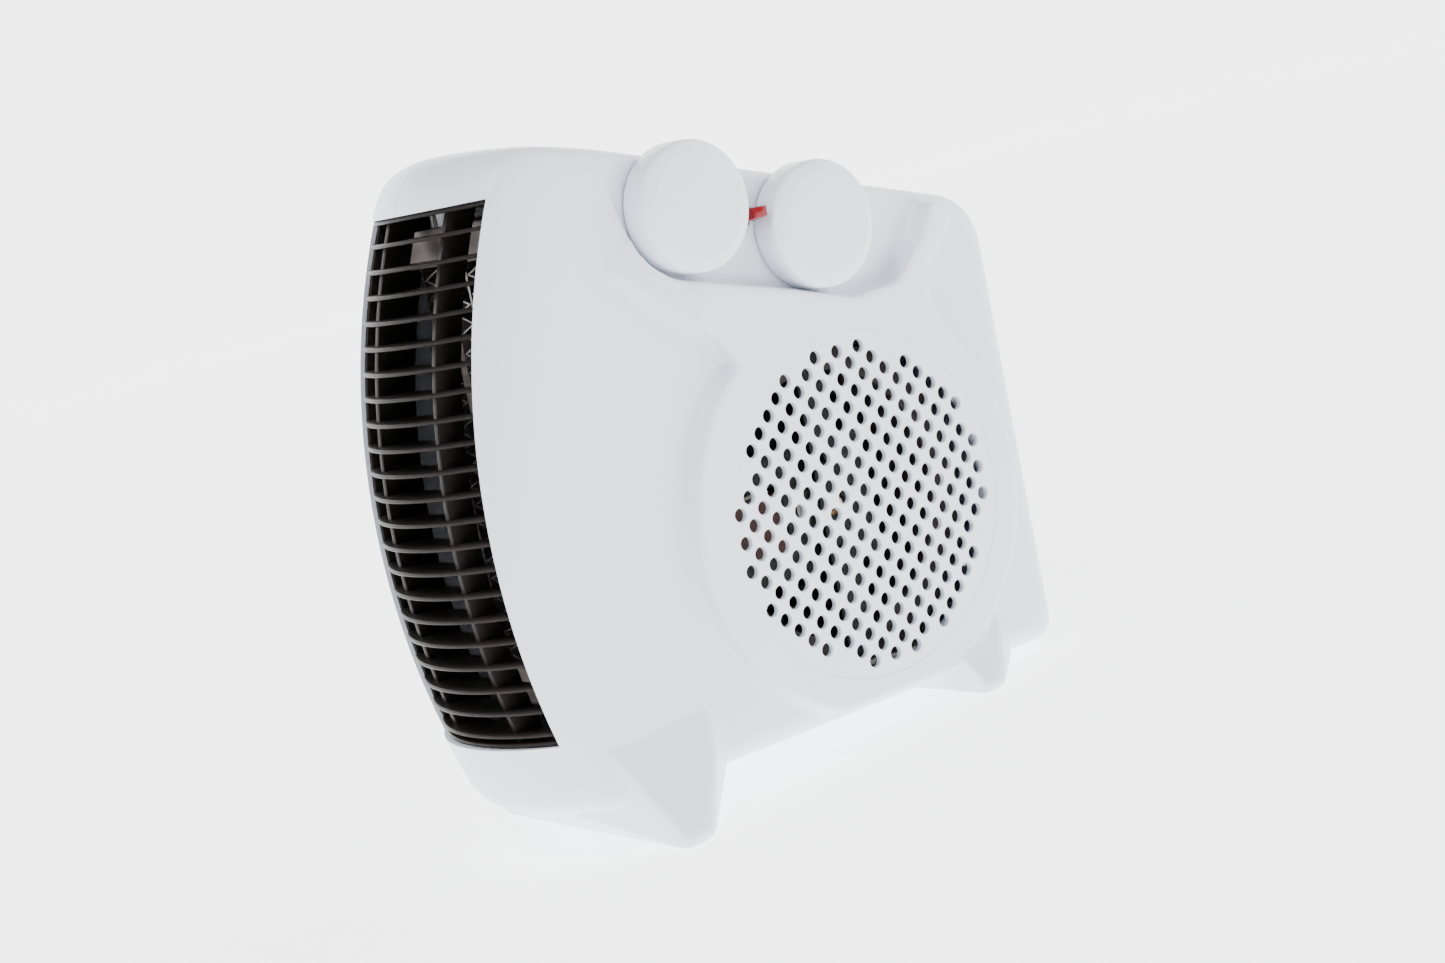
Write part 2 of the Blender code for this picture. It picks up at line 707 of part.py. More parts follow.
def outlet_grille():
    low = SLAT_BOTTOM - GRILLE_MARGIN / 2 + FIT
    high = SLAT_TOP + GRILLE_MARGIN - FIT
    edge = GRILLE_HALF - FIT
    pieces = []
    for side in (-1, 1):
        rail = sheet([front_band(GRILLE_INSET + 0.6, RAIL_DEPTH, low, high, edge - RAIL_THICK)],
                     edge - RAIL_THICK, edge)
        rib = sheet([front_band(GRILLE_INSET + 3.5, RIB_DEPTH, low, high, RIB_X)],
                    RIB_X - RIB_THICK / 2, RIB_X + RIB_THICK / 2)
        pieces += [rail if side > 0 else mirrored(rail), rib if side > 0 else mirrored(rib)]
    heights = [SLAT_BOTTOM + (SLAT_TOP - SLAT_BOTTOM) * k / (SLAT_COUNT - 1) for k in range(SLAT_COUNT)]
    spread = [(edge - 0.5) * (step / 4 - 1) for step in range(9)]
    for z in [low + SLAT_THICK / 2, *heights, high - SLAT_THICK / 2]:
        nose = [(x, front_y(z, front_drop(abs(x), PANEL_HALF) + GRILLE_INSET)) for x in spread]
        back = nose[0][1] + SLAT_HEEL
        pieces.append(sheet([[*nose, (spread[-1], back), (spread[0], back)]],
                            z - SLAT_THICK / 2, z + SLAT_THICK / 2, "Z"))
    new_object("outlet_grille", join(pieces[0], *pieces[1:]), SMOKED)


# ------------------------------------------------------------------ heating element
def heating_element():
    half_depth = ELEMENT_DEPTH / 2
    depth = (ELEMENT_Y - half_depth, ELEMENT_Y + half_depth)
    height = (ELEMENT_BOTTOM, ELEMENT_TOP)
    row = [("strip", 1), ("fins", 1), ("bar", 1), ("fins", 2), ("strip", 2),
           ("fins", 3), ("bar", 2), ("fins", 4), ("strip", 3)]
    widths = {"strip": STRIP_THICK, "fins": FIN_WIDTH, "bar": BAR_WIDTH}
    x = -(sum(widths[kind] for kind, _ in row) + FIT * (len(row) - 1)) / 2
    for kind, number in row:
        end = x + widths[kind]
        if kind == "strip":
            new_object(f"electrode_strip_{number}", box((x, end), depth, height), ALUMINIUM)
        elif kind == "bar":
            new_object(f"ptc_bar_{number}", box((x, end), depth, height), CERAMIC)
        else:
            height_of_fins = ELEMENT_TOP - ELEMENT_BOTTOM - 2 * FIN_MARGIN
            count = round(height_of_fins / FIN_PITCH) * 2
            step = height_of_fins / count
            spread = FIN_THICK / 2 * math.hypot(1, FIN_WIDTH / step)
            folds = [(x + spread if k % 2 else end - spread, ELEMENT_BOTTOM + FIN_MARGIN + k * step)
                     for k in range(count + 1)]
            near = [(across - spread, up) for across, up in folds]
            far = [(across + spread, up) for across, up in reversed(folds)]
            new_object(f"fin_pack_{number}", sheet([near + far], *depth, "Y"), ALUMINIUM)
        x = end + FIT
    back = (ELEMENT_Y - HOLDER_DEPTH / 2, ELEMENT_Y + HOLDER_DEPTH / 2)
    top = ELEMENT_TOP + FIT
    low = ELEMENT_BOTTOM - FIT
    side = (-HOLDER_HALF, HOLDER_HALF)
    new_object("ptc_holder_top", box(side, back, (top, top + HOLDER_HEIGHT)), BLACK)
    new_object("ptc_holder_bottom", box(side, back, (low - HOLDER_HEIGHT, low)), BLACK)
    seat = top + HOLDER_HEIGHT + FIT
    disc = rod(CUTOUT_RADIUS, (seat, seat + CUTOUT_HEIGHT), sides=20)
    disc.transform(X_TO_Z)
    disc.transform(Matrix.Translation((CUTOUT_X, ELEMENT_Y, 0)))
    new_object("thermal_cutout", disc, STEEL)
    new_object("thermal_fuse", rod(FUSE_RADIUS, FUSE_SPAN, ELEMENT_Y, seat + FUSE_RADIUS, 12), STEEL)


# ------------------------------------------------------------------ fan
def scroll_radius(angle):
    """The scroll opens out from its tongue, over the top and round to the bottom."""
    return IMPELLER_RADIUS + SCROLL_CLEAR + SCROLL_GROWTH * (120 - angle) / 210


def scroll_path(offset):
    mouth = ELEMENT_Y + HOLDER_DEPTH / 2 + FIT
    top = ELEMENT_TOP + HOLDER_HEIGHT - 4
    low = ELEMENT_BOTTOM - HOLDER_HEIGHT + 2
    points = [(mouth, top + offset), (-70, 94 + offset)]
    for angle in range(120, -91, -15):
        points += arc(scroll_radius(angle) + offset, angle, angle, 1)[:1]
    points += [(-32, -62 - offset), (-62, -54 - offset), (mouth, low - offset)]
    return points


def fan_housing():
    wall = scroll_path(SCROLL_WALL) + list(reversed(scroll_path(0.0)))
    new_object("fan_scroll", sheet([wall], -INNER_HALF + 3 * FIT, SCROLL_TOP), BLACK)
    inlet = arc(INLET_RADIUS, 0, 350, 35)
    plate = sheet([scroll_path(SCROLL_WALL), inlet], INLET_BACK, INLET_BACK + INLET_THICK)
    room = LIMB_LENGTH / 2
    reach = STACK_FRONT - FIT - BOBBIN_WALL
    coil_half = room - BOBBIN_WALL - FIT
    coil_room = box((0, FAR), (reach - COIL_WALL - 2 * FIT, 0), (-coil_half, coil_half))
    bobbin_room = box((0, FAR), (reach - COIL_WALL / 2 - FIT, 0), (-room, room))
    new_object("inlet_plate", cut(plate, coil_room, bobbin_room), BLACK)


def impeller():
    hub = rod(HUB_RADIUS, (IMPELLER_BACK, IMPELLER_BACK + HUB_LENGTH))
    disc = rod(IMPELLER_RADIUS, (IMPELLER_BACK, IMPELLER_BACK + DISC_THICK), sides=48)
    front = IMPELLER_BACK + IMPELLER_WIDTH
    ring = sheet([arc(IMPELLER_RADIUS, 0, 352.5, 47), arc(IMPELLER_RADIUS - RING_WIDTH, 0, 352.5, 47)],
                 front - RING_THICK, front)
    blades = []
    root = IMPELLER_RADIUS - BLADE_DEPTH
    tip = IMPELLER_RADIUS - 0.4
    for k in range(BLADE_COUNT):
        turn = 360 * k / BLADE_COUNT
        lead = math.degrees(BLADE_THICK / root)
        bend = turn + BLADE_SWEEP / 4
        end = turn + BLADE_SWEEP
        outline_points = [arc(radius, angle, angle, 1)[0] for radius, angle in (
            (root, turn), (root + 5, bend), (tip, end), (tip, end + lead), (root + 5, bend + lead),
            (root, turn + lead))]
        blades.append(sheet([outline_points], IMPELLER_BACK + 1, front - 0.5))
    bore = rod(SHAFT_RADIUS + SHAFT_RUN, (IMPELLER_BACK - 5, IMPELLER_BACK + 25), sides=16)
    new_object("impeller", cut(join(disc, hub, ring, *blades), bore), BLACK)
    new_object("motor_shaft", rod(SHAFT_RADIUS, (IMPELLER_BACK - 2.5, MOUNT_BACK + 3), sides=16), STEEL)
    clip = cut(rod(CLIP_RADIUS, (IMPELLER_BACK - FIT - CLIP_THICK, IMPELLER_BACK - FIT), sides=16),
               rod(SHAFT_RADIUS + SHAFT_RUN, (-60, 0), sides=16))
    new_object("impeller_clip", clip, STEEL)
    rotor = cut(rod(ROTOR_RADIUS, (STACK_BACK + FIT, STACK_TOP - FIT), sides=32),
                rod(SHAFT_RADIUS + SHAFT_RUN, (0, 60), sides=16))
    new_object("rotor", rotor, STEEL)


# ------------------------------------------------------------------ motor
def motor():
    screws = (MOTOR_SCREW_Z, -MOTOR_SCREW_Z)
    through = (-10, 60)
    clear = SCREW_RADIUS + FIT
    limb = STACK_FRONT + LIMB_WIDTH
    stack = cut(box((STACK_BACK, STACK_TOP), (STACK_FRONT, STACK_REAR), (-STACK_HALF, STACK_HALF)),
                rod(ROTOR_RADIUS + AIR_GAP, through, sides=32),
                box(through, (limb, limb + WINDOW_WIDTH), (-LIMB_LENGTH / 2, LIMB_LENGTH / 2)),
                *[rod(clear, through, 0, z, 12) for z in screws])
    new_object("stator_stack", stack, STEEL)

    centre_y = STACK_FRONT + LIMB_WIDTH / 2
    centre_x = STACK_BACK + STACK_THICK / 2
    half_y = LIMB_WIDTH / 2 + FIT
    half_x = STACK_THICK / 2 + FIT

    def sleeve(grow, length):
        return box((centre_x - half_x - grow, centre_x + half_x + grow),
                   (centre_y - half_y - grow, centre_y + half_y + grow), (-length / 2, length / 2))

    room = LIMB_LENGTH - 2 * FIT
    wound = BOBBIN_WALL + FIT
    flange = COIL_WALL / 2
    ends = [sleeve(BOBBIN_WALL + flange, room), sleeve(BOBBIN_WALL, room)]
    middle = cut(sleeve(30, room - 2 * BOBBIN_WALL), sleeve(BOBBIN_WALL, room + 10))
    bobbin = cut(ends[0], middle, sleeve(0.0, room + 10))
    new_object("coil_bobbin", bobbin, NYLON)
    coil = cut(sleeve(wound + COIL_WALL, room - 2 * BOBBIN_WALL - 2 * FIT), sleeve(wound, room + 10))
    new_object("motor_coil", coil, COPPER)

    span = (-STACK_HALF + 1, STACK_HALF - 1)
    half = BRACKET_WIDTH / 2
    for name, low, high in (("rear", STACK_BACK - FIT - BEARING_WIDTH, STACK_BACK - FIT),
                            ("front", STACK_TOP + FIT, MOUNT_BACK - FIT)):
        holes = [rod(clear, through, 0, z, 12) for z in screws]
        bracket = cut(box((low, high), (-half, half), span),
                      rod(BEARING_RADIUS + FIT, through, sides=24), *holes)
        new_object(f"{name}_bearing_bracket", bracket, ALUMINIUM)
        bush = cut(rod(BEARING_RADIUS, (low, high), sides=24),
                   rod(SHAFT_RADIUS + SHAFT_RUN, through, sides=16))
        new_object(f"{name}_bearing", bush, BRASS)

    reach = INLET_RADIUS + MOUNT_LAP
    holes = [rod(clear, through, 0, z, 12) for z in screws]
    mount = cut(box((MOUNT_BACK, MOUNT_BACK + MOUNT_THICK), (-half, half), (-reach, reach)),
                rod(SHAFT_RADIUS + 2, through, sides=16), *holes)
    new_object("motor_mount", mount, STEEL)
    seat = MOUNT_BACK + MOUNT_THICK + FIT
    for number, z in enumerate(screws, 1):
        shank = rod(SCREW_RADIUS, (STACK_BACK - FIT - BEARING_WIDTH, seat + 0.5), 0, z, 12)
        head = rod(SCREW_HEAD, (seat, seat + MOTOR_HEAD), 0, z, 16)
        new_object(f"motor_screw_{number}", join(head, shank), STEEL)


# ------------------------------------------------------------------ controls
def knob(name, y, z):
    radius = KNOB_RADIUS
    bore = SPINDLE_RADIUS + FIT
    ceiling = KNOB_FACE - KNOB_WALL
    hub = bore + KNOB_HUB_WALL
    hub_end = KNOB_BASE + 0.5
    profile = [(0, KNOB_FACE), *[(radius - side, KNOB_FACE - face) for side, face in KNOB_EDGE],
               (radius, KNOB_BASE), (radius - KNOB_WALL, KNOB_BASE), (radius - KNOB_WALL, ceiling),
               (hub, ceiling), (hub, hub_end), (bore, hub_end), (bore, ceiling), (0, ceiling)]
    new_object(name, turned(profile, y, z), WHITE)


def controls():
    knob("power_knob", POWER_Y, POWER_Z)
    knob("thermostat_knob", THERMOSTAT_Y, THERMOSTAT_Z)
    half = SWITCH_SIZE / 2
    for body, spindle, y, z, look in (("rotary_switch", "switch_spindle", POWER_Y, POWER_Z, PHENOLIC),
                                      ("thermostat", "thermostat_spindle", THERMOSTAT_Y,
                                       THERMOSTAT_Z, CERAMIC)):
        case = cut(box((SWITCH_FACE - SWITCH_DEPTH, SWITCH_FACE), (y - half, y + half),
                       (z - half + 1, z + half - 1)),
                   rod(SPINDLE_RADIUS + SPINDLE_RUN, (SPINDLE_FOOT - FIT, 60), y, z))
        new_object(body, case, look)
        new_object(spindle, rod(SPINDLE_RADIUS, (SPINDLE_FOOT, SPINDLE_TOP), y, z), BRASS)
    back = SWITCH_FACE - SWITCH_DEPTH - FIT
    strip = box((back - BIMETAL_THICK, back), (THERMOSTAT_Y - half, THERMOSTAT_Y + half + 4),
                (THERMOSTAT_Z - BIMETAL_WIDTH / 2, THERMOSTAT_Z + BIMETAL_WIDTH / 2))
    new_object("bimetal_strip", strip, BRASS)

    wide = LENS_WIDTH / 2
    tall = LENS_HEIGHT / 2
    flange = box((SWITCH_FACE - LENS_FLANGE, SWITCH_FACE),
                 (LENS_Y - wide - LENS_LAP, LENS_Y + wide + LENS_LAP),
                 (LENS_Z - tall - 0.8, LENS_Z + tall + 0.8))
    tip = RECESS_FLOOR + LENS_REACH
    wedge = hull([(x, LENS_Y + a, LENS_Z + b) for x in (SWITCH_FACE - 0.5, tip)
                  for a in (-wide, wide)
                  for b in ((-tall, tall) if x < tip else (-tall / 3, tall * 0.8))])
    new_object("pilot_lens", join(flange, wedge), RED)
    lamp = SWITCH_FACE - LENS_FLANGE - FIT
    bulb = rod(LAMP_RADIUS, (lamp - LAMP_LENGTH, lamp), LENS_Y, LENS_Z, 16, end_radius=2.0)
    new_object("neon_lamp", bulb, GLASS)


# ------------------------------------------------------------------ fasteners, inlet and wiring
def casing_screws():
    for number, (y, z) in enumerate(CASING_SCREWS, 1):
        seat = -SCREW_SEAT - FIT
        head = rod(SCREW_HEAD, (seat - SCREW_HEAD_THICK, seat), y, z, 16)
        shank = rod(SCREW_RADIUS, (seat - 0.5, SCREW_GRIP), y, z, 8)
        new_object(f"casing_screw_{number}", join(head, shank), STEEL)


def mains_inlet():
    outside = REAR_Y + FIT
    inside = REAR_Y - WALL - FIT
    rim = outside + GLAND_RIM
    lip = inside - GLAND_LIP
    profile = [(GLAND_BORE, rim), (GLAND_FLANGE - 1, rim), (GLAND_FLANGE, outside), (GLAND_NECK, outside),
               (GLAND_NECK, inside), (GLAND_FLANGE - 1, inside), (GLAND_FLANGE - 1, lip), (GLAND_BORE, lip),
               (GLAND_BORE, rim)]
    gland = turned(profile, 0, 0, 16)
    gland.transform(X_TO_Y)
    gland.transform(Matrix.Translation((0, 0, GLAND_Z)))
    new_object("cord_gland", gland, BLACK)
    floor = BOTTOM_Z + WALL + FIT
    block = box((-TERMINAL_WIDTH / 2, TERMINAL_WIDTH / 2),
                (TERMINAL_Y - TERMINAL_LENGTH / 2, TERMINAL_Y + TERMINAL_LENGTH / 2),
                (floor, floor + TERMINAL_HEIGHT))
    new_object("terminal_block", block, NYLON)


def wire(name, points, look):
    """An insulated lead through points chosen along its route."""
    curve = bpy.data.curves.new(name, "CURVE")
    curve.dimensions = "3D"
    curve.bevel_depth = WIRE_RADIUS
    curve.bevel_resolution = 2
    curve.use_fill_caps = True
    spline = curve.splines.new("POLY")
    route = smooth(points)
    spline.points.add(len(route) - 1)
    for point, place in zip(spline.points, route):
        point.co = (*place, 1.0)
    holder = bpy.data.objects.new(name, curve)
    bpy.context.scene.collection.objects.link(holder)
    mesh = evaluated(holder)
    bpy.data.objects.remove(holder, do_unlink=True)
    work = bmesh.new()
    work.from_mesh(mesh)
    bmesh.ops.remove_doubles(work, verts=work.verts, dist=0.001)
    new_object(name, mesh_from(work), look)


def smooth(points, steps=2):
    """A rounded route that keeps its first and last points."""
    vectors = [Vector(point) for point in points]
    route = [vectors[0]]
    for before, here, after in zip(vectors, vectors[1:], vectors[2:]):
        start = before.lerp(here, 0.6)
        end = here.lerp(after, 0.4)
        for step in range(steps + 1):
            t = step / steps
            route.append(start.lerp(here, t).lerp(here.lerp(end, t), t))
    route.append(vectors[-1])
    return route


def wiring():
    half = SWITCH_SIZE / 2 + FIT
    block = BOTTOM_Z + WALL + FIT + TERMINAL_HEIGHT + FIT
    holder_back = ELEMENT_Y + HOLDER_DEPTH / 2 + FIT
    holder_top = ELEMENT_TOP + HOLDER_HEIGHT + 2 * FIT
    outer = INLET_BACK + INLET_THICK + 3
    live = SWITCH_FACE - LIVE_LEAD_DEPTH
    link = SWITCH_FACE - LINK_LEAD_DEPTH
    feed = SWITCH_FACE - MOTOR_LEAD_DEPTH
    wire("live_lead", [(5, TERMINAL_Y + 6, block), (5, TERMINAL_Y + 6, block + 4), (5, 73, -40),
                       (5, 73, 30), (8, 70, 66), (live - 2, 40, 103), (live, THERMOSTAT_Y + half + 5, 103),
                       (live, THERMOSTAT_Y + half, 103)], BLACK)
    wire("link_lead", [(link, THERMOSTAT_Y - half, 102), (link, THERMOSTAT_Y - half - 5, 102),
                       (link - 1, -30, 107), (link, POWER_Y + half + 3, 112),
                       (link, POWER_Y + half, 112)], BLACK)
    low = POWER_Z - SWITCH_SIZE / 2 + 1 - FIT
    wire("motor_lead", [(feed, POWER_Y, low), (feed, POWER_Y, low - 4), (outer, -49, 84),
                        (outer + 1, -46, 40), (outer, -38, 24), (30, -36.5, 18),
                        (30, -36.5, LIMB_LENGTH / 2)], BLACK)
    for number, depth, x, z in zip((1, 2), ELEMENT_LEAD_DEPTHS, ELEMENT_LEAD_ENDS, (116, 122)):
        join_x = SWITCH_FACE - depth
        wire(f"element_lead_{number}", [(join_x, POWER_Y - half, z), (join_x, POWER_Y - half - 5, z),
                                        (x, -82, 132), (x, -96, 136), (x, -103, 134),
                                        (x, -103, holder_top)], BLACK)
    neutral = block - TERMINAL_HEIGHT / 2
    wire("neutral_lead", [(TERMINAL_WIDTH / 2 + FIT, TERMINAL_Y, neutral), (16, TERMINAL_Y, neutral),
                          (outer, 40, -64), (outer + 1, 0, -62), (outer + 1, -60, -53), (34.6, -86, -40),
                          (34.6, -92, -38), (34.6, holder_back, -38)], BLACK)


def build():
    right_shell()
    left_shell()
    intake_grille()
    outlet_grille()
    heating_element()
    fan_housing()
    impeller()
    motor()
    controls()
    casing_screws()
    mains_inlet()
    wiring()


def stand_over_origin():
    """Put the soles on z = 0 and the middle of the whole object over the origin."""
    lean = Matrix.Rotation(-LEAN, 4, "X")
    corners = [lean @ vertex.co for made in parts.objects if made.type == "MESH"
               for vertex in made.data.vertices]
    middle = [(min(c[axis] for c in corners) + max(c[axis] for c in corners)) / 2 for axis in (0, 1)]
    stand.location = (-middle[0], -middle[1], -min(corner.z for corner in corners))


build()
stand_over_origin()
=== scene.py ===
import json
import math

import bmesh
import bpy
from mathutils import Matrix, Vector

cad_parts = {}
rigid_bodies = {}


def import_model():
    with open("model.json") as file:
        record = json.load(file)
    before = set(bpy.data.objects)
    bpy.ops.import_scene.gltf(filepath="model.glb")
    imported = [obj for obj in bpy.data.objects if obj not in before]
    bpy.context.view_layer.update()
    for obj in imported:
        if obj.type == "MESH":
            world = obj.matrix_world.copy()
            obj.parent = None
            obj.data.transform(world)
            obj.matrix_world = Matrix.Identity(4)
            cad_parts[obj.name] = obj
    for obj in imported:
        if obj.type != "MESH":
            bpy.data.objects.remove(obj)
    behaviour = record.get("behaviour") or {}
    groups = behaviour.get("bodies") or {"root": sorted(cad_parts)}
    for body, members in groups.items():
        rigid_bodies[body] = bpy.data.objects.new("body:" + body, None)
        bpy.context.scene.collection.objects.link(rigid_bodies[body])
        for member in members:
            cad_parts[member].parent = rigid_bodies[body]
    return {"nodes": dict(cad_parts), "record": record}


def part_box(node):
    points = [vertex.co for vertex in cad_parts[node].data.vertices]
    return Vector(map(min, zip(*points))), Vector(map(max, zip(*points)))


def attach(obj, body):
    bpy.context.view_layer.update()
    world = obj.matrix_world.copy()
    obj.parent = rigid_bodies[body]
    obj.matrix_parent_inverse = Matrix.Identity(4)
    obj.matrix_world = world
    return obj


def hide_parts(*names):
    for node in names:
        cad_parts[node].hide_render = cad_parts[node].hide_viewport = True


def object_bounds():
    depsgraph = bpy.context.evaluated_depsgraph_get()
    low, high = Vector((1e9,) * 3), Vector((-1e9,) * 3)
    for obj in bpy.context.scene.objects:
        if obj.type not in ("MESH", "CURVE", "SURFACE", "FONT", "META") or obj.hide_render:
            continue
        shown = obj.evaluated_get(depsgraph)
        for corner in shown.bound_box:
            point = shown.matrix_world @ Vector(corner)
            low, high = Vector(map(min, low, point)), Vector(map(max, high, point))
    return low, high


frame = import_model()
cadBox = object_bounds()
print("loaded the frame")

# The casing leans back on its feet, so every piece is drawn upright in millimetres,
# with the fan's axis as the X axis, and then laid into the frame by casingPlace.
stand = {"lean": math.radians(4.04)}
shaftLow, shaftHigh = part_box("motor_shaft")
fanAxis = (shaftLow + shaftHigh) / 2
casingPlace = (Matrix.Translation((0.0, fanAxis.y, fanAxis.z))
               @ Matrix.Rotation(-stand["lean"], 4, "X") @ Matrix.Scale(0.001, 4))

workbench = bpy.data.collections.new("workbench")
bpy.context.scene.collection.children.link(workbench)


# ---- small helpers for meshes
def held(mesh, name="work"):
    holder = bpy.data.objects.new(name, mesh)
    workbench.objects.link(holder)
    return holder


def worked(holder):
    # the mesh of an object with its modifiers worked out; the holder goes away
    graph = bpy.context.evaluated_depsgraph_get()
    mesh = bpy.data.meshes.new_from_object(holder.evaluated_get(graph))
    bpy.data.objects.remove(holder, do_unlink=True)
    return mesh


def meshFrom(work, tidy=True):
    if tidy:
        bmesh.ops.remove_doubles(work, verts=work.verts, dist=0.0005)
        bmesh.ops.recalc_face_normals(work, faces=work.faces)
    mesh = bpy.data.meshes.new("shape")
    work.to_mesh(mesh)
    work.free()
    return mesh


def tidied(mesh):
    work = bmesh.new()
    work.from_mesh(mesh)
    return meshFrom(work)


def combined(base, tools, operation="DIFFERENCE", solver="MANIFOLD"):
    holder = held(base)
    helpers = [held(tool) for tool in tools]
    for helper in helpers:
        change = holder.modifiers.new("change", "BOOLEAN")
        change.operation = operation
        change.solver = solver
        change.object = helper
    made = worked(holder)
    for helper in helpers:
        bpy.data.objects.remove(helper, do_unlink=True)
    return made


def block(x, y, z):
    work = bmesh.new()
    size = (x[1] - x[0], y[1] - y[0], z[1] - z[0])
    middle = ((x[0] + x[1]) / 2, (y[0] + y[1]) / 2, (z[0] + z[1]) / 2)
    place = Matrix.Translation(middle) @ Matrix.Diagonal((*size, 1.0))
    bmesh.ops.create_cube(work, size=1.0, matrix=place)
    return meshFrom(work)


def rod(radius, x, y=0.0, z=0.0, sides=48):
    # a cylinder along X
    work = bmesh.new()
    place = Matrix.Translation(((x[0] + x[1]) / 2, y, z)) @ Matrix.Rotation(math.pi / 2, 4, "Y")
    bmesh.ops.create_cone(work, cap_ends=True, segments=sides, radius1=radius, radius2=radius,
                          depth=x[1] - x[0], matrix=place)
    return meshFrom(work)


def hull(points):
    work = bmesh.new()
    for point in points:
        work.verts.new(point)
    made = bmesh.ops.convex_hull(work, input=work.verts)
    loose = [item for item in made["geom_interior"] if isinstance(item, bmesh.types.BMVert)]
    bmesh.ops.delete(work, geom=loose, context="VERTS")
    return meshFrom(work)


def loft(rings):
    # a closed solid through outlines of equal length, given as (x, points)
    work = bmesh.new()
    loops = [[work.verts.new((x, y, z)) for y, z in points] for x, points in rings]
    for near, far in zip(loops, loops[1:]):
        for i in range(len(near)):
            j = (i + 1) % len(near)
            work.faces.new((near[i], near[j], far[j], far[i]))
    work.faces.new(loops[0])
    work.faces.new(loops[-1])
    bmesh.ops.recalc_face_normals(work, faces=work.faces)
    bmesh.ops.triangulate(work, faces=work.faces, ngon_method="EAR_CLIP")
    return meshFrom(work)


def slab(points, low, high):
    # an outline of (y, z) points, thick from x = low to x = high
    return loft([(low, points), (high, points)])


def turned(profile, y, z, sides=96):
    # (radius, x) points from the axis round to the axis, turned about X
    work = bmesh.new()
    rings = []
    turns = [2 * math.pi * k / sides for k in range(sides)]
    for radius, x in profile:
        if radius < 1e-6:
            rings.append([work.verts.new((x, y, z))] * sides)
        else:
            rings.append([work.verts.new((x, y + radius * math.cos(a), z + radius * math.sin(a)))
                          for a in turns])
    for near, far in zip(rings, rings[1:]):
        for i in range(sides):
            j = (i + 1) % sides
            corners = []
            for corner in (near[i], near[j], far[j], far[i]):
                if corner not in corners:
                    corners.append(corner)
            if len(corners) > 2:
                work.faces.new(corners)
    return meshFrom(work)


def arc(radius, start, end, steps, y=0.0, z=0.0):
    turns = [math.radians(start + (end - start) * step / steps) for step in range(steps + 1)]
    return [(y + radius * math.cos(a), z + radius * math.sin(a)) for a in turns]


def softCorner(before, corner, after, steps=8):
    points = []
    for step in range(steps + 1):
        t = step / steps
        points.append(tuple((1 - t) ** 2 * a + 2 * t * (1 - t) * b + t * t * c
                            for a, b, c in zip(before, corner, after)))
    return points


def mirrored(mesh):
    work = bmesh.new()
    work.from_mesh(mesh)
    bmesh.ops.transform(work, matrix=Matrix.Scale(-1.0, 4, (1, 0, 0)), verts=work.verts)
    bmesh.ops.reverse_faces(work, faces=work.faces)
    return meshFrom(work, tidy=False)


def joinedMeshes(meshes):
    work = bmesh.new()
    for mesh in meshes:
        work.from_mesh(mesh)
    return meshFrom(work, tidy=False)


def finished(name, mesh, look, body, nodes=(), sharp=34.0):
    # lays a mesh into the frame as a piece that rides on a body
    mesh.transform(casingPlace)
    mesh.name = name
    mesh.materials.clear()
    mesh.materials.append(look)
    mesh.shade_smooth()
    mesh.set_sharp_from_angle(angle=math.radians(sharp))
    piece = bpy.data.objects.new(name, mesh)
    bpy.context.scene.collection.objects.link(piece)
    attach(piece, body)
    if nodes:
        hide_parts(*nodes)
    return piece


# ---- materials
# a noise texture seldom leaves these bounds
noiseRange = {"value": (0.3, 0.7), "colour": (0.32, 0.68)}


def startLook(name):
    look = bpy.data.materials.new(name)
    look.use_nodes = True
    nodes = look.node_tree.nodes
    return look, nodes, look.node_tree.links, nodes["Principled BSDF"]


def noise(nodes, links, scale, detail=3.0, rough=0.5, stretch=None):
    texture = nodes.new("ShaderNodeTexNoise")
    texture.inputs["Scale"].default_value = scale
    texture.inputs["Detail"].default_value = detail
    texture.inputs["Roughness"].default_value = rough
    spot = nodes.new("ShaderNodeTexCoord")
    source = spot.outputs["Object"]
    if stretch:
        mapping = nodes.new("ShaderNodeMapping")
        mapping.inputs["Scale"].default_value = stretch
        links.new(source, mapping.inputs["Vector"])
        source = mapping.outputs["Vector"]
    links.new(source, texture.inputs["Vector"])
    return texture


def spread(nodes, links, source, low, high):
    ranged = nodes.new("ShaderNodeMapRange")
    ranged.inputs["From Min"].default_value = noiseRange["value"][0]
    ranged.inputs["From Max"].default_value = noiseRange["value"][1]
    ranged.inputs["To Min"].default_value = low
    ranged.inputs["To Max"].default_value = high
    links.new(source, ranged.inputs["Value"])
    return ranged.outputs["Result"]


def toned(nodes, links, source, dark, light):
    tones = nodes.new("ShaderNodeValToRGB")
    for end, position, colour in zip(tones.color_ramp.elements, noiseRange["colour"], (dark, light)):
        end.position = position
        end.color = (*colour, 1.0)
    links.new(source, tones.inputs["Fac"])
    return tones.outputs["Color"]


def bumped(nodes, links, shader, source, strength, distance):
    bump = nodes.new("ShaderNodeBump")
    bump.inputs["Strength"].default_value = strength
    bump.inputs["Distance"].default_value = distance
    links.new(source, bump.inputs["Height"])
    links.new(bump.outputs["Normal"], shader.inputs["Normal"])


def moulded(name, dark, light, rough, grain=2600.0, bump=0.12, **sockets):
    # moulded plastic: slow colour drift, uneven sheen and a fine spark texture
    look, nodes, links, shader = startLook(name)
    drift = noise(nodes, links, 9.0, 2.0)
    links.new(toned(nodes, links, drift.outputs["Fac"], dark, light), shader.inputs["Base Color"])
    sheen = noise(nodes, links, 60.0, 4.0)
    links.new(spread(nodes, links, sheen.outputs["Fac"], rough[0], rough[1]), shader.inputs["Roughness"])
    spark = noise(nodes, links, grain, 2.0)
    bumped(nodes, links, shader, spark.outputs["Fac"], bump, 0.0002)
    for socket, value in sockets.items():
        shader.inputs[socket.replace("_", " ")].default_value = value
    return look


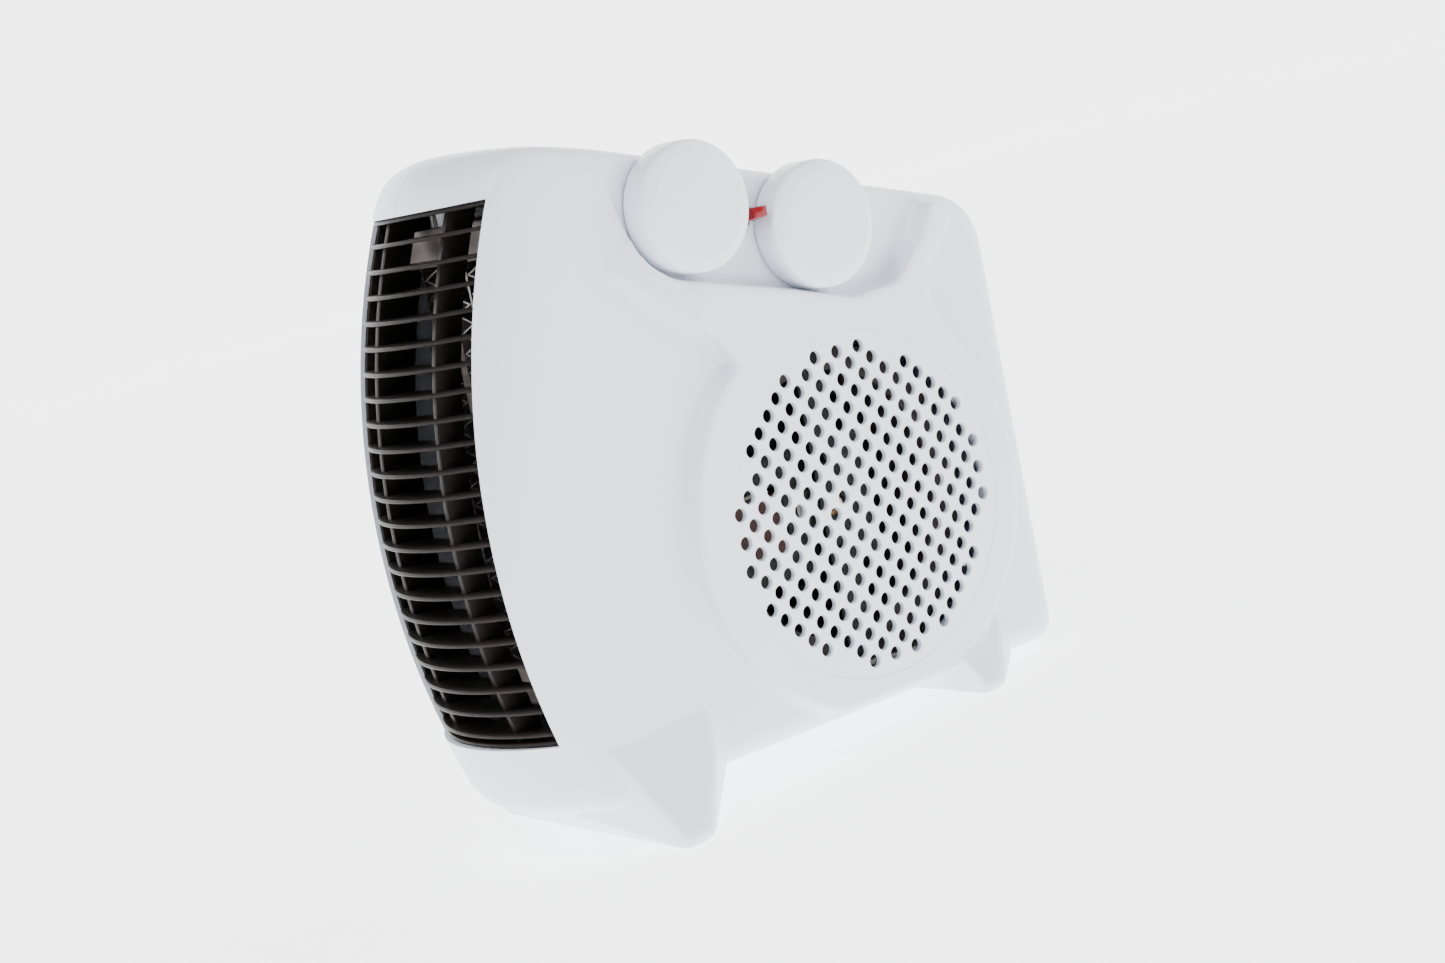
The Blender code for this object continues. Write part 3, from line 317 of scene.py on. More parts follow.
def metal(name, dark, light, rough, stretch=(1.0, 1.0, 1.0), scale=400.0):
    # rolled or cast metal: streaks along its rolling direction
    look, nodes, links, shader = startLook(name)
    shader.inputs["Metallic"].default_value = 1.0
    streak = noise(nodes, links, scale, 4.0, 0.6, stretch)
    links.new(toned(nodes, links, streak.outputs["Fac"], dark, light), shader.inputs["Base Color"])
    links.new(spread(nodes, links, streak.outputs["Fac"], rough[0], rough[1]), shader.inputs["Roughness"])
    bumped(nodes, links, shader, streak.outputs["Fac"], 0.15, 0.0001)
    return look


looks = {
    "casing": moulded("coolWhiteCasing", (0.695, 0.735, 0.815), (0.72, 0.757, 0.835), (0.30, 0.40)),
    "grille": moulded("smokedGrille", (0.012, 0.010, 0.009), (0.022, 0.018, 0.017), (0.30, 0.42), 900.0, 0.03,
                      Transmission_Weight=0.05, Specular_IOR_Level=0.05),
    "aluminium": metal("finAluminium", (0.46, 0.43, 0.41), (0.62, 0.59, 0.57), (0.25, 0.45),
                       (1.0, 1.0, 12.0)),
    "steel": metal("brushedSteel", (0.45, 0.45, 0.46), (0.68, 0.68, 0.68), (0.22, 0.4), (12.0, 1.0, 1.0)),
    "zinc_steel": metal("bluedSteel", (0.030, 0.030, 0.033), (0.07, 0.068, 0.066), (0.35, 0.55)),
    "heat_ceramic": moulded("heatCeramic", (0.20, 0.168, 0.155), (0.28, 0.24, 0.22), (0.6, 0.85), 1500.0,
                            0.4),
    "heat_resin": moulded("heatResin", (0.24, 0.20, 0.185), (0.31, 0.26, 0.24), (0.45, 0.6), 1800.0, 0.3),
    "black_plastic": moulded("fanBlack", (0.010, 0.010, 0.011), (0.022, 0.022, 0.024), (0.35, 0.5)),
    "duct_plastic": moulded("ductPlastic", (0.070, 0.058, 0.054), (0.10, 0.084, 0.078), (0.4, 0.55)),
    "copper": metal("copper", (0.60, 0.22, 0.10), (0.85, 0.40, 0.22), (0.2, 0.35)),
    "coil_tape": moulded("coilTape", (0.035, 0.008, 0.005), (0.085, 0.018, 0.011), (0.3, 0.45), 500.0, 0.3),
    "bobbin_plastic": moulded("bobbinPlastic", (0.62, 0.59, 0.50), (0.72, 0.69, 0.60), (0.4, 0.55)),
    "bearing_bronze": metal("bearingBronze", (0.40, 0.24, 0.10), (0.60, 0.40, 0.20), (0.3, 0.5)),
    "knob": moulded("knobWhite", (0.70, 0.738, 0.815), (0.725, 0.76, 0.835), (0.26, 0.36)),
    "lens": moulded("redLens", (0.17, 0.001, 0.004), (0.26, 0.002, 0.007), (0.10, 0.16), 700.0, 0.02,
                    Transmission_Weight=0.15, Specular_IOR_Level=0.3),
    "lamp": moulded("neonLamp", (0.85, 0.35, 0.18), (0.95, 0.50, 0.30), (0.05, 0.1), 700.0, 0.02,
                    Transmission_Weight=0.6),
    "switch_plastic": moulded("switchPlastic", (0.05, 0.05, 0.05), (0.09, 0.09, 0.09), (0.4, 0.55)),
    "bimetal": metal("bimetal", (0.50, 0.40, 0.22), (0.72, 0.62, 0.40), (0.25, 0.4)),
    "terminal": moulded("terminalPlastic", (0.66, 0.63, 0.56), (0.76, 0.73, 0.66), (0.4, 0.55)),
    "lead_black": moulded("leadBlack", (0.008, 0.008, 0.008), (0.02, 0.02, 0.02), (0.35, 0.5)),
    "lead_white": moulded("leadWhite", (0.70, 0.70, 0.67), (0.80, 0.80, 0.77), (0.35, 0.5)),
    "gland": moulded("glandWhite", (0.74, 0.78, 0.83), (0.79, 0.82, 0.87), (0.4, 0.5)),
}
slotOf = {row["node"]: row["material_slot"] for row in frame["record"]["subparts"]}
for name, made in frame["nodes"].items():
    made.data.materials.clear()
    made.data.materials.append(looks[slotOf[name]])
    made.data.shade_smooth()
    made.data.set_sharp_from_angle(angle=math.radians(35))
print("materials on", len(frame["nodes"]), "nodes")

# ---- the casing's shape
casing = {
    "panelHalf": 46.0, "plateauHalf": 52.5, "wall": 2.5, "seamGap": 0.3,
    "frontAxis": (112.5, 20.6), "frontRadius": 274.7, "planRadius": 68.4, "flankDepth": 30.0,
    "rear": 91.5, "bottom": -78.0, "knee": (-70.0, 144.8), "topSlope": math.radians(15.7),
    "topRadius": 290.0, "crown": 2.0, "edgeRadius": 9.0, "recessFloor": 43.0, "recessFront": -79.0,
    "recessDraft": 0.9, "recessTop": 190.0, "plateauRadius": 78.0, "plateauDraft": (3.0, -2.0),
    "bottomCorner": 11.0, "rearCorner": 8.0, "topRearCorner": 17.0, "topFrontCorner": 15.0,
    "frontTopCorner": 14.0, "voxel": 1.15, "softening": 3,
    # cuts that run out of the casing go this far, sideways and any other way
    "beside": 90.0, "beyond": 200.0,
}
ramp = {"start": (-92.0, 110.0), "way": (0.8, -0.6), "slope": 0.155}
feet = {"reach": 61.0, "frontTip": (-111.3, -93.8), "frontSole": 12.0, "rearTip": 34.7, "rearSole": 10.0,
        "tipSteps": 8}
screws = {
    "places": ((-104, 142.5), (-27, 122), (78, 84), (79, -66), (-131, -61)),
    "radius": 1.6, "head": 3.4, "grip": 12.0, "seat": 14.0, "boss": 6.4, "slack": 0.6, "near": -9.0,
}
gland = {"radius": 5.7, "span": (83.5, 99.5), "z": -45.0}
intake = {"radius": 64.0, "thick": 2.4, "ledge": 3.5, "back": 50.0, "seat": 49.7, "pitch": 7.3,
          "hole": 2.55, "field": 7.95, "chamfer": 0.35, "dome": 1.1, "holeSides": 20, "rimSides": 160,
          "slack": 0.06, "skew": 900.0}
knobs = {"radius": 23.35, "height": 13.0, "base": 44.0, "clear": 1.7, "wall": 2.2,
         "power": (-50.6, 119.2), "thermostat": (3.9, 103.2), "spindleHole": 4.5}
grille = {"half": 38.7, "fit": 0.3, "count": 21, "top": 127.1, "bottom": -44.5, "thick": 1.5, "heel": 3.5,
          "inset": 2.0, "margin": 9.0, "ribX": 20.0, "ribThick": 2.4, "ribDepth": 15.5, "railThick": 1.8,
          "railDepth": 22.0, "railStart": 0.5, "ribStart": 3.5, "endInset": 1.1, "windowBack": -112.0}
lens = {"y": -23.4, "z": 111.5, "width": 5.8, "height": 6.4, "back": 40.5, "tip": 55.0,
        "hole": (3.2, 3.5), "flange": (38.8, 40.2), "lap": (1.5, 0.8)}


def frontY(z, inset=0.0):
    axisY, axisZ = casing["frontAxis"]
    return axisY - math.sqrt((casing["frontRadius"] - inset) ** 2 - (z - axisZ) ** 2)


def topZ(y, inset=0.0):
    kneeY, kneeZ = casing["knee"]
    slope = casing["topSlope"]
    radius = casing["topRadius"]
    if y >= kneeY:
        return kneeZ - (y - kneeY) * math.tan(slope) - inset
    axisY = kneeY - radius * math.sin(slope)
    axisZ = kneeZ - radius * math.cos(slope)
    return axisZ + math.sqrt(radius ** 2 - (y - axisY) ** 2) - inset


def sideOutline(frontInset=0.0, edgeInset=0.0, steps=8, spans=24):
    # the casing's side view as (y, z) points
    low = casing["bottom"] + edgeInset
    rear = casing["rear"] - edgeInset
    kneeY = casing["knee"][0]
    bottom, rearSize, topRearSize = casing["bottomCorner"], casing["rearCorner"], casing["topRearCorner"]
    # the front and the top meet where each lies on the other
    y = casing["frontAxis"][0] - casing["frontRadius"]
    for _ in range(20):
        y = frontY(topZ(y, edgeInset), frontInset)
    top = topZ(y, edgeInset)
    topRear = topZ(rear, edgeInset)
    shoulder = top - casing["frontTopCorner"]
    crown = y + casing["topFrontCorner"]
    foot = frontY(low, frontInset)
    points = softCorner((frontY(low + bottom, frontInset), low + bottom), (foot, low),
                        (foot + bottom, low), steps)
    points += softCorner((rear - rearSize, low), (rear, low), (rear, low + rearSize), steps)
    points += softCorner((rear, topRear - topRearSize), (rear, topRear),
                         (rear - topRearSize, topZ(rear - topRearSize, edgeInset)), steps)
    points.append((kneeY, topZ(kneeY, edgeInset)))
    for part in (1, 2, 3):
        crest = kneeY + (crown - kneeY) * part / 4
        points.append((crest, topZ(crest, edgeInset)))
    points += softCorner((crown, topZ(crown, edgeInset)), (y, top), (frontY(shoulder, frontInset), shoulder),
                         steps)
    for step in range(1, spans):
        z = shoulder + (low + bottom - shoulder) * step / spans
        points.append((frontY(z, frontInset), z))
    return points


def frontDrop(x, half):
    # how far the front has curved back at this distance from the mid-plane
    plan = casing["planRadius"]
    drop = plan - math.sqrt(plan ** 2 - min(x, grille["half"]) ** 2)
    if x > grille["half"]:
        along = min(1.0, (x - grille["half"]) / (half - grille["half"]))
        slope = grille["half"] / math.sqrt(plan ** 2 - grille["half"] ** 2)
        drop += slope * (x - grille["half"])
        drop += (casing["flankDepth"] - casing["edgeRadius"]) * (1 - math.sqrt(1 - along ** 2))
    return drop


def edgeDrop(x, half):
    fall = casing["crown"] * (x / half) ** 2
    over = x - (half - casing["edgeRadius"])
    if over > 0:
        fall += casing["edgeRadius"] - math.sqrt(max(0.0, casing["edgeRadius"] ** 2 - over ** 2))
    return fall


def casingHalf(start, inset=0.0, fine=True):
    half = casing["panelHalf"] - inset
    edge = grille["half"] - inset
    if fine:
        stations = [start, 0.0, 4, 8, 12, 16, 20, 24, 28, 32, 35.5, edge]
        steps = 14
        stations += [edge + (half - edge) * math.sin(math.pi / 2 * k / steps) for k in range(1, steps + 1)]
    else:
        stations = [start, 14.0, 26.0, edge, half - 3.6, half - 1.2, half]
    size = (8, 24) if fine else (4, 12)
    return loft([(x, sideOutline(frontDrop(abs(x), half) + inset, edgeDrop(x, half) + inset, *size))
                 for x in stations])


def recessOutline(grow=0.0, steps=16):
    left, above = casing["recessFront"] - grow, casing["recessTop"]
    corner = arc(knobs["radius"] + knobs["clear"] + grow, 195, 262, steps, *knobs["power"])
    return [(left, above), (left, 134), *corner,
            (-22, 86 - grow), (13, 75.5 - grow), (34 + grow, 77 - grow), (50 + grow, 90),
            (61 + grow, 106), (61 + grow, above)]


def recessTool():
    # the recess, with walls that lean outwards; the wall beside the front knob is a wide slope
    draft, floor, above = casing["recessDraft"], casing["recessFloor"], casing["recessTop"]
    rings = []
    for rise, grow, upper, lower in ((0.0, -draft, -69, (-69, 141)), (3.2, 0.0, -78.5, (-80.5, 134)),
                                     (12.0, 2 * draft, -82.5, (-84.5, 134))):
        outline = recessOutline(grow)
        outline[0], outline[1] = (upper, above), lower
        rings.append((floor + rise, outline))
    rings.append((casing["beside"], rings[-1][1]))
    return loft(rings)


def plateauOutline(grow=0.0, steps=90):
    ring = arc(casing["plateauRadius"] + grow, 40, -226, steps)
    neck = [(-46 - grow, 62), (-52 - grow, 73), (-66 - grow, 82), (-88 - grow, 104), (-72, 116),
            (-22, 96), (34, 88), (58, 107), (72 + grow, 96), (54 + grow, 79), (51 + grow, 66)]
    return ring + neck


def underRamp(inset):
    # the raised side's top slopes down and fades out towards its upper front corner
    (startY, startZ), (wayY, wayZ), slope = ramp["start"], ramp["way"], ramp["slope"]
    points = []
    beyond = casing["beyond"]
    for y, z in ((-beyond, -beyond), (-beyond, beyond), (beyond, -beyond), (beyond, beyond)):
        along = (y - startY) * wayY + (z - startZ) * wayZ
        points += [(0, y, z), (casing["panelHalf"] - 0.5 - inset + slope * along, y, z)]
    return hull(points)


def plateauHalf(inset, steps=90):
    top = casing["plateauHalf"]
    atFoot, atTop = (plateauOutline(grow - inset, steps) for grow in casing["plateauDraft"])
    raised = loft([(30, atFoot), (top - inset, atTop)])
    trim = slab(sideOutline(25 + inset, casing["edgeRadius"] - 2 + inset), 20, top + 5)
    return combined(raised, [trim, underRamp(inset)], "INTERSECT")


def soleZ(y):
    tipY, tipZ = feet["frontTip"]
    return tipZ + (y - tipY) * math.tan(stand["lean"])


def footTip(reach, low, sole):
    # the foot's end: round in plan and from the front, flat underneath
    points = []
    mid = low + sole / 2
    for step in range(feet["tipSteps"] + 1):
        turn = math.pi * step / feet["tipSteps"]
        y = mid - math.cos(turn) * sole / 2
        out = math.sin(turn)
        points += [(reach - 3.5 + 1.6 * out, y, soleZ(y)), (reach - 1.2 + 1.1 * out, y, soleZ(y) + 2.2),
                   (reach - 0.9 + 0.9 * out, y, soleZ(y) + 4.5)]
    return points


def frontFoot(start):
    low, sole = feet["frontTip"][0], feet["frontSole"]
    panel = casing["panelHalf"] - 1
    bar = [(start, low, soleZ(low)), (start, low + sole, soleZ(low + sole)),
           (start, low - 5, -86), (start, -132, -76), (start, low + sole + 8, -76)]
    back = [(panel + 8, -88, -66), (panel + 3, -83, -58)]
    return hull([*bar, *footTip(feet["reach"], low, sole), *back,
                 (panel, -126.5, -54), (panel, -82, -50), (panel - 2, -77, -74)])


def rearFoot(start):
    low, sole = feet["rearTip"], feet["rearSole"]
    panel = casing["plateauHalf"] - 4
    bar = [(start, low, soleZ(low)), (start, low + sole, soleZ(low + sole)),
           (start, low - 4, -76), (start, low + sole + 6, -76)]
    return hull([*bar, *footTip(feet["reach"] - 1, low, sole),
                 (panel, 29, -60), (panel, 56, -57), (panel, 60, -74), (panel + 5, 52, -64)])


def softened(mesh):
    # one skin over the joined shapes, with every edge a little round
    holder = held(mesh)
    skin = holder.modifiers.new("skin", "REMESH")
    skin.mode = "VOXEL"
    skin.voxel_size = casing["voxel"]
    soft = holder.modifiers.new("soft", "SMOOTH")
    soft.factor = 0.5
    soft.iterations = casing["softening"]
    return worked(holder)


def commonCuts(screwHeads):
    low = grille["bottom"] - grille["margin"] / 2
    high = grille["top"] + grille["margin"]
    window = block((-grille["half"], grille["half"]), (-casing["beyond"], grille["windowBack"]), (low, high))
    hole = rod(gland["radius"], gland["span"], sides=40)
    hole.transform(Matrix.Rotation(math.pi / 2, 4, "Z"))
    hole.transform(Matrix.Translation((0, 0, gland["z"])))
    cuts = [window, hole]
    beside, near, slack = casing["beside"], screws["near"], screws["slack"]
    for y, z in screws["places"]:
        if screwHeads:
            cuts.append(rod(screws["radius"] + slack, (near, beside), y, z, 24))
            cuts.append(rod(screws["head"] + slack, (screws["seat"], beside), y, z, 40))
        else:
            cuts.append(rod(screws["radius"] + slack, (near, screws["grip"] + 3), y, z, 24))
    return cuts


def bosses():
    return [rod(screws["boss"], (screws["near"], casing["beside"]), y, z, 32) for y, z in screws["places"]]


beyondSeam = -5.0
seamCut = block((-40, casing["seamGap"] / 2), (-220, 160), (-140, 220))

feetForms = [frontFoot(beyondSeam), rearFoot(beyondSeam)]
rightForm = combined(casingHalf(beyondSeam), [plateauHalf(0.0), *feetForms], "UNION")
rightForm = combined(rightForm, [recessTool()])
rightForm = combined(softened(rightForm), [seamCut])
wall = casing["wall"]
cavity = combined(casingHalf(-1.0, wall, fine=False), [plateauHalf(wall, 40)], "UNION")
beside = casing["beside"]
cavity = combined(cavity, [slab(recessOutline(wall + 1.5), casing["recessFloor"] - wall, beside),
                           rod(intake["radius"] + wall, (intake["seat"] - wall, beside), sides=96),
                           *bosses()])
rightForm = combined(rightForm, [cavity])
halfWide, halfTall = lens["hole"]
rightCuts = commonCuts(False) + [
    rod(intake["radius"] - intake["ledge"], (20, beside), sides=128),
    rod(intake["radius"] + intake["slack"], (intake["seat"], beside), sides=intake["rimSides"]),
    block((30, beside), (lens["y"] - halfWide, lens["y"] + halfWide),
          (lens["z"] - halfTall, lens["z"] + halfTall))]
for y, z in (knobs["power"], knobs["thermostat"]):
    rightCuts.append(rod(knobs["spindleHole"], (30, beside), y, z))
rightMesh = combined(rightForm, rightCuts)
finished("casingRight", rightMesh, looks["casing"], "casing", ["right_shell"])
print("right shell", len(rightMesh.polygons))

feetForms = [frontFoot(beyondSeam), rearFoot(beyondSeam)]
leftForm = combined(casingHalf(beyondSeam), feetForms, "UNION")
leftForm = combined(softened(leftForm), [seamCut])
leftForm = combined(leftForm, [combined(casingHalf(-1.0, wall, fine=False), bosses())])
leftMesh = mirrored(combined(leftForm, commonCuts(True)))
finished("casingLeft", leftMesh, looks["casing"], "casing", ["left_shell"])
print("left shell", len(leftMesh.polygons))


# ---- node trees for what repeats
def newTree(name, inputs):
    tree = bpy.data.node_groups.new(name, "GeometryNodeTree")
    tree.interface.new_socket("Geometry", in_out="INPUT", socket_type="NodeSocketGeometry")
    tree.interface.new_socket("Geometry", in_out="OUTPUT", socket_type="NodeSocketGeometry")
    for label, kind in inputs:
        tree.interface.new_socket(label, in_out="INPUT", socket_type=kind)
    return tree, tree.nodes.new("NodeGroupInput"), tree.nodes.new("NodeGroupOutput")


def node(tree, kind, values=None, **settings):
    made = tree.nodes.new(kind)
    for setting, value in settings.items():
        setattr(made, setting, value)
    for socket, value in (values or {}).items():
        if isinstance(value, bpy.types.NodeSocket):
            tree.links.new(value, made.inputs[socket])
        else:
            made.inputs[socket].default_value = value
    return made


def math2(tree, operation, a, b=None):
    values = {0: a}
    if b is not None:
        values[1] = b
    return node(tree, "ShaderNodeMath", values, operation=operation).outputs[0]


def dressedOut(tree, last, given, out):
    # every tree ends in real geometry with its material on
    real = node(tree, "GeometryNodeRealizeInstances", {0: last.outputs[0]})
    dressed = node(tree, "GeometryNodeSetMaterial",
                   {"Geometry": real.outputs[0], "Material": given.outputs["Look"]})
    tree.links.new(dressed.outputs[0], out.inputs[0])
    return tree


def grown(mesh, tree, values):
    # runs a node tree on a mesh and gives the plain mesh that comes out
    holder = held(mesh)
    modifier = holder.modifiers.new(tree.name, "NODES")
    modifier.node_group = tree
    for item in tree.interface.items_tree:
        if item.item_type == "SOCKET" and item.in_out == "INPUT" and item.name in values:
            modifier[item.identifier] = values[item.name]
    return worked(holder)


# ---- perforated intake panel
def panelTree():
    tree, given, out = newTree("perforatedPanel", [
        ("Pitch", "NodeSocketFloat"), ("Hole radius", "NodeSocketFloat"), ("Chamfer", "NodeSocketFloat"),
        ("Panel radius", "NodeSocketFloat"), ("Thickness", "NodeSocketFloat"), ("Field", "NodeSocketFloat"),
        ("Dome", "NodeSocketFloat"), ("Hole sides", "NodeSocketInt"), ("Rim sides", "NodeSocketInt"),
        ("Look", "NodeSocketMaterial")])
    pitch, hole, chamfer = (given.outputs[k] for k in ("Pitch", "Hole radius", "Chamfer"))
    radius, thick, field = (given.outputs[k] for k in ("Panel radius", "Thickness", "Field"))
    sides, rim = given.outputs["Hole sides"], given.outputs["Rim sides"]
    perSide = 16
    width = math2(tree, "MULTIPLY", pitch, float(perSide - 1))
    lattice = node(tree, "GeometryNodeMeshGrid", {"Size X": width, "Size Y": width,
                                                  "Vertices X": perSide, "Vertices Y": perSide})
    position = node(tree, "GeometryNodeInputPosition").outputs[0]
    apart = node(tree, "ShaderNodeSeparateXYZ", {0: position})
    a, b = apart.outputs[0], apart.outputs[1]
    reach = node(tree, "ShaderNodeVectorMath", {0: position}, operation="LENGTH").outputs["Value"]
    outside = math2(tree, "GREATER_THAN", reach, math2(tree, "MULTIPLY", field, pitch))
    # the four weld marks stand where a * b * (a * a - b * b) is largest
    skew = math2(tree, "MULTIPLY", math2(tree, "MULTIPLY", a, b),
                 math2(tree, "SUBTRACT", math2(tree, "MULTIPLY", a, a), math2(tree, "MULTIPLY", b, b)))
    fourth = math2(tree, "POWER", pitch, 4.0)
    marked = math2(tree, "GREATER_THAN", skew, math2(tree, "MULTIPLY", fourth, intake["skew"]))
    dropped = math2(tree, "MAXIMUM", outside, marked)
    holes = node(tree, "GeometryNodeDeleteGeometry",
                 {"Geometry": lattice.outputs["Mesh"], "Selection": dropped}, domain="POINT")
    points = node(tree, "GeometryNodeTransform", {"Geometry": holes.outputs[0],
                                                  "Rotation": (0.0, 0.0, -math.pi / 4)}).outputs[0]
    wide = math2(tree, "ADD", hole, chamfer)

    def skinAt(size, height):
        ring = node(tree, "GeometryNodeCurvePrimitiveCircle", {"Resolution": sides, "Radius": size})
        rings = node(tree, "GeometryNodeInstanceOnPoints", {"Points": points, "Instance": ring.outputs[0]})
        edge = node(tree, "GeometryNodeCurvePrimitiveCircle", {"Resolution": rim, "Radius": radius})
        flat = node(tree, "GeometryNodeJoinGeometry")
        loose = node(tree, "GeometryNodeRealizeInstances", {0: rings.outputs[0]})
        tree.links.new(loose.outputs[0], flat.inputs[0])
        tree.links.new(edge.outputs[0], flat.inputs[0])
        filled = node(tree, "GeometryNodeFillCurve", {"Curve": flat.outputs[0]})
        lift = node(tree, "ShaderNodeCombineXYZ", {"Z": height})
        return node(tree, "GeometryNodeTransform", {"Geometry": filled.outputs[0],
                                                    "Translation": lift.outputs[0]}).outputs[0]

    def tube(sidesSocket, low, high, size, sizeTop):
        tall = math2(tree, "SUBTRACT", high, low)
        cone = node(tree, "GeometryNodeMeshCone",
                    {"Vertices": sidesSocket, "Radius Top": sizeTop, "Radius Bottom": size, "Depth": tall},
                    fill_type="NONE")
        lift = node(tree, "ShaderNodeCombineXYZ", {"Z": low})
        return node(tree, "GeometryNodeTransform", {"Geometry": cone.outputs["Mesh"],
                                                    "Translation": lift.outputs[0]}).outputs[0]

    under = math2(tree, "SUBTRACT", thick, chamfer)
    sleeve = node(tree, "GeometryNodeJoinGeometry")
    tree.links.new(tube(sides, under, thick, hole, wide), sleeve.inputs[0])
    tree.links.new(tube(sides, 0.0, under, hole, hole), sleeve.inputs[0])
    sleeves = node(tree, "GeometryNodeInstanceOnPoints", {"Points": points, "Instance": sleeve.outputs[0]})
    whole = node(tree, "GeometryNodeJoinGeometry")
    for source in (skinAt(wide, thick), skinAt(hole, 0.0), sleeves.outputs[0],
                   tube(rim, 0.0, thick, radius, radius)):
        tree.links.new(source, whole.inputs[0])
    solid = node(tree, "GeometryNodeRealizeInstances", {0: whole.outputs[0]})
    merged = node(tree, "GeometryNodeMergeByDistance", {"Geometry": solid.outputs[0], "Distance": 0.01})
    here = node(tree, "GeometryNodeInputPosition").outputs[0]
    flatHere = node(tree, "ShaderNodeVectorMath", {0: here, 1: (1.0, 1.0, 0.0)}, operation="MULTIPLY")
    away = node(tree, "ShaderNodeVectorMath", {0: flatHere.outputs[0]}, operation="LENGTH")
    ratio = math2(tree, "DIVIDE", away.outputs["Value"], radius)
    rise = math2(tree, "MULTIPLY", given.outputs["Dome"],
                 math2(tree, "SUBTRACT", 1.0, math2(tree, "POWER", ratio, 2.0)))
    lift = node(tree, "ShaderNodeCombineXYZ", {"Z": rise})
    domed = node(tree, "GeometryNodeSetPosition", {"Geometry": merged.outputs[0], "Offset": lift.outputs[0]})
    return dressedOut(tree, domed, given, out)


emptyMesh = bpy.data.meshes.new("seed")
panelMesh = grown(emptyMesh, panelTree(), {
    "Pitch": intake["pitch"], "Hole radius": intake["hole"], "Chamfer": intake["chamfer"],
    "Panel radius": intake["radius"], "Thickness": intake["thick"], "Field": intake["field"],
    "Dome": intake["dome"], "Hole sides": intake["holeSides"], "Rim sides": intake["rimSides"],
    "Look": looks["casing"]})
# the panel is grown flat in X and Y, and turned to face out of the side
panelMesh.transform(Matrix(((0, 0, 1, intake["back"]), (1, 0, 0, 0), (0, 1, 0, 0), (0, 0, 0, 1))))
panelMesh = tidied(panelMesh)
finished("intakePanel", panelMesh, looks["casing"], "casing", ["intake_grille"], sharp=25.0)
print("intake panel", len(panelMesh.polygons))


# four faint weld marks round the perforations
marks = {"spots": ((7.5, 2.5), (-7.5, -2.5), (2.5, -7.5), (-2.5, 7.5)), "radius": 2.1, "rise": 0.22,
         "sunk": 0.6, "shape": ((0.0, 0.4), (0.35, 0.4), (0.5, 0.0), (0.7, 0.5), (0.85, 1.0), (1.0, 0.0))}
markMeshes = []
for a, b in marks["spots"]:
    y, z = (a + b) * intake["pitch"] / math.sqrt(2), (b - a) * intake["pitch"] / math.sqrt(2)
    dome = intake["dome"] * (1 - (y * y + z * z) / intake["radius"] ** 2)
    face = intake["back"] + intake["thick"] + dome
    profile = [(marks["radius"] * out, face + marks["rise"] * up) for out, up in marks["shape"]]
    profile += [(marks["radius"], face - marks["sunk"]), (0.0, face - marks["sunk"])]
    markMeshes.append(turned(profile, y, z, sides=40))
finished("weldMarks", joinedMeshes(markMeshes), looks["casing"], "casing")


# ---- outlet grille
def slatTree():
    tree, given, out = newTree("slatRow", [
        ("Count", "NodeSocketInt"), ("First height", "NodeSocketFloat"), ("Last height", "NodeSocketFloat"),
        ("Drum radius", "NodeSocketFloat"), ("Axis Y", "NodeSocketFloat"), ("Axis Z", "NodeSocketFloat"),
        ("Look", "NodeSocketMaterial")])
    start = node(tree, "ShaderNodeCombineXYZ", {"Z": given.outputs["First height"]})
    end = node(tree, "ShaderNodeCombineXYZ", {"Z": given.outputs["Last height"]})
    line = node(tree, "GeometryNodeMeshLine",
                {"Count": given.outputs["Count"], "Start Location": start.outputs[0],
                 "Offset": end.outputs[0]}, mode="END_POINTS")
    here = node(tree, "GeometryNodeInputPosition").outputs[0]
    height = node(tree, "ShaderNodeSeparateXYZ", {0: here}).outputs[2]
    away = math2(tree, "SUBTRACT", height, given.outputs["Axis Z"])
    square = math2(tree, "MULTIPLY", given.outputs["Drum radius"], given.outputs["Drum radius"])
    reach = math2(tree, "SQRT", math2(tree, "SUBTRACT", square, math2(tree, "MULTIPLY", away, away)))
    back = math2(tree, "SUBTRACT", given.outputs["Axis Y"], reach)
    shift = node(tree, "ShaderNodeCombineXYZ", {"Y": back})
    bowed = node(tree, "GeometryNodeSetPosition", {"Geometry": line.outputs[0], "Offset": shift.outputs[0]})
    row = node(tree, "GeometryNodeInstanceOnPoints", {"Points": bowed.outputs[0],
                                                      "Instance": given.outputs["Geometry"]})
    return dressedOut(tree, row, given, out)


def slatMesh():
    # one slat: its nose is bowed with the casing's front, its back is straight
    half = grille["half"] - grille["fit"]
    radius = grille["thick"] / 2
    nose = [(radius - math.cos(a) * radius, math.sin(a) * radius)
            for a in (math.pi / 2 - math.pi * k / 6 for k in range(7))]
    heel = frontDrop(half, casing["panelHalf"]) + grille["inset"] + grille["heel"]
    stations = 24
    work = bmesh.new()
    loops = []
    for k in range(stations + 1):
        x = half * (2 * k / stations - 1)
        front = frontDrop(abs(x), casing["panelHalf"]) + grille["inset"]
        loop = [(front + deep, up) for deep, up in nose]
        loop += [(heel, -radius * 0.8), (heel, radius * 0.8)]
        loops.append([work.verts.new((x, y, up)) for y, up in loop])
    for near, far in zip(loops, loops[1:]):
        for i in range(len(near)):
            j = (i + 1) % len(near)
            work.faces.new((near[i], near[j], far[j], far[i]))
    work.faces.new(loops[0])
    work.faces.new(loops[-1])
    return meshFrom(work)


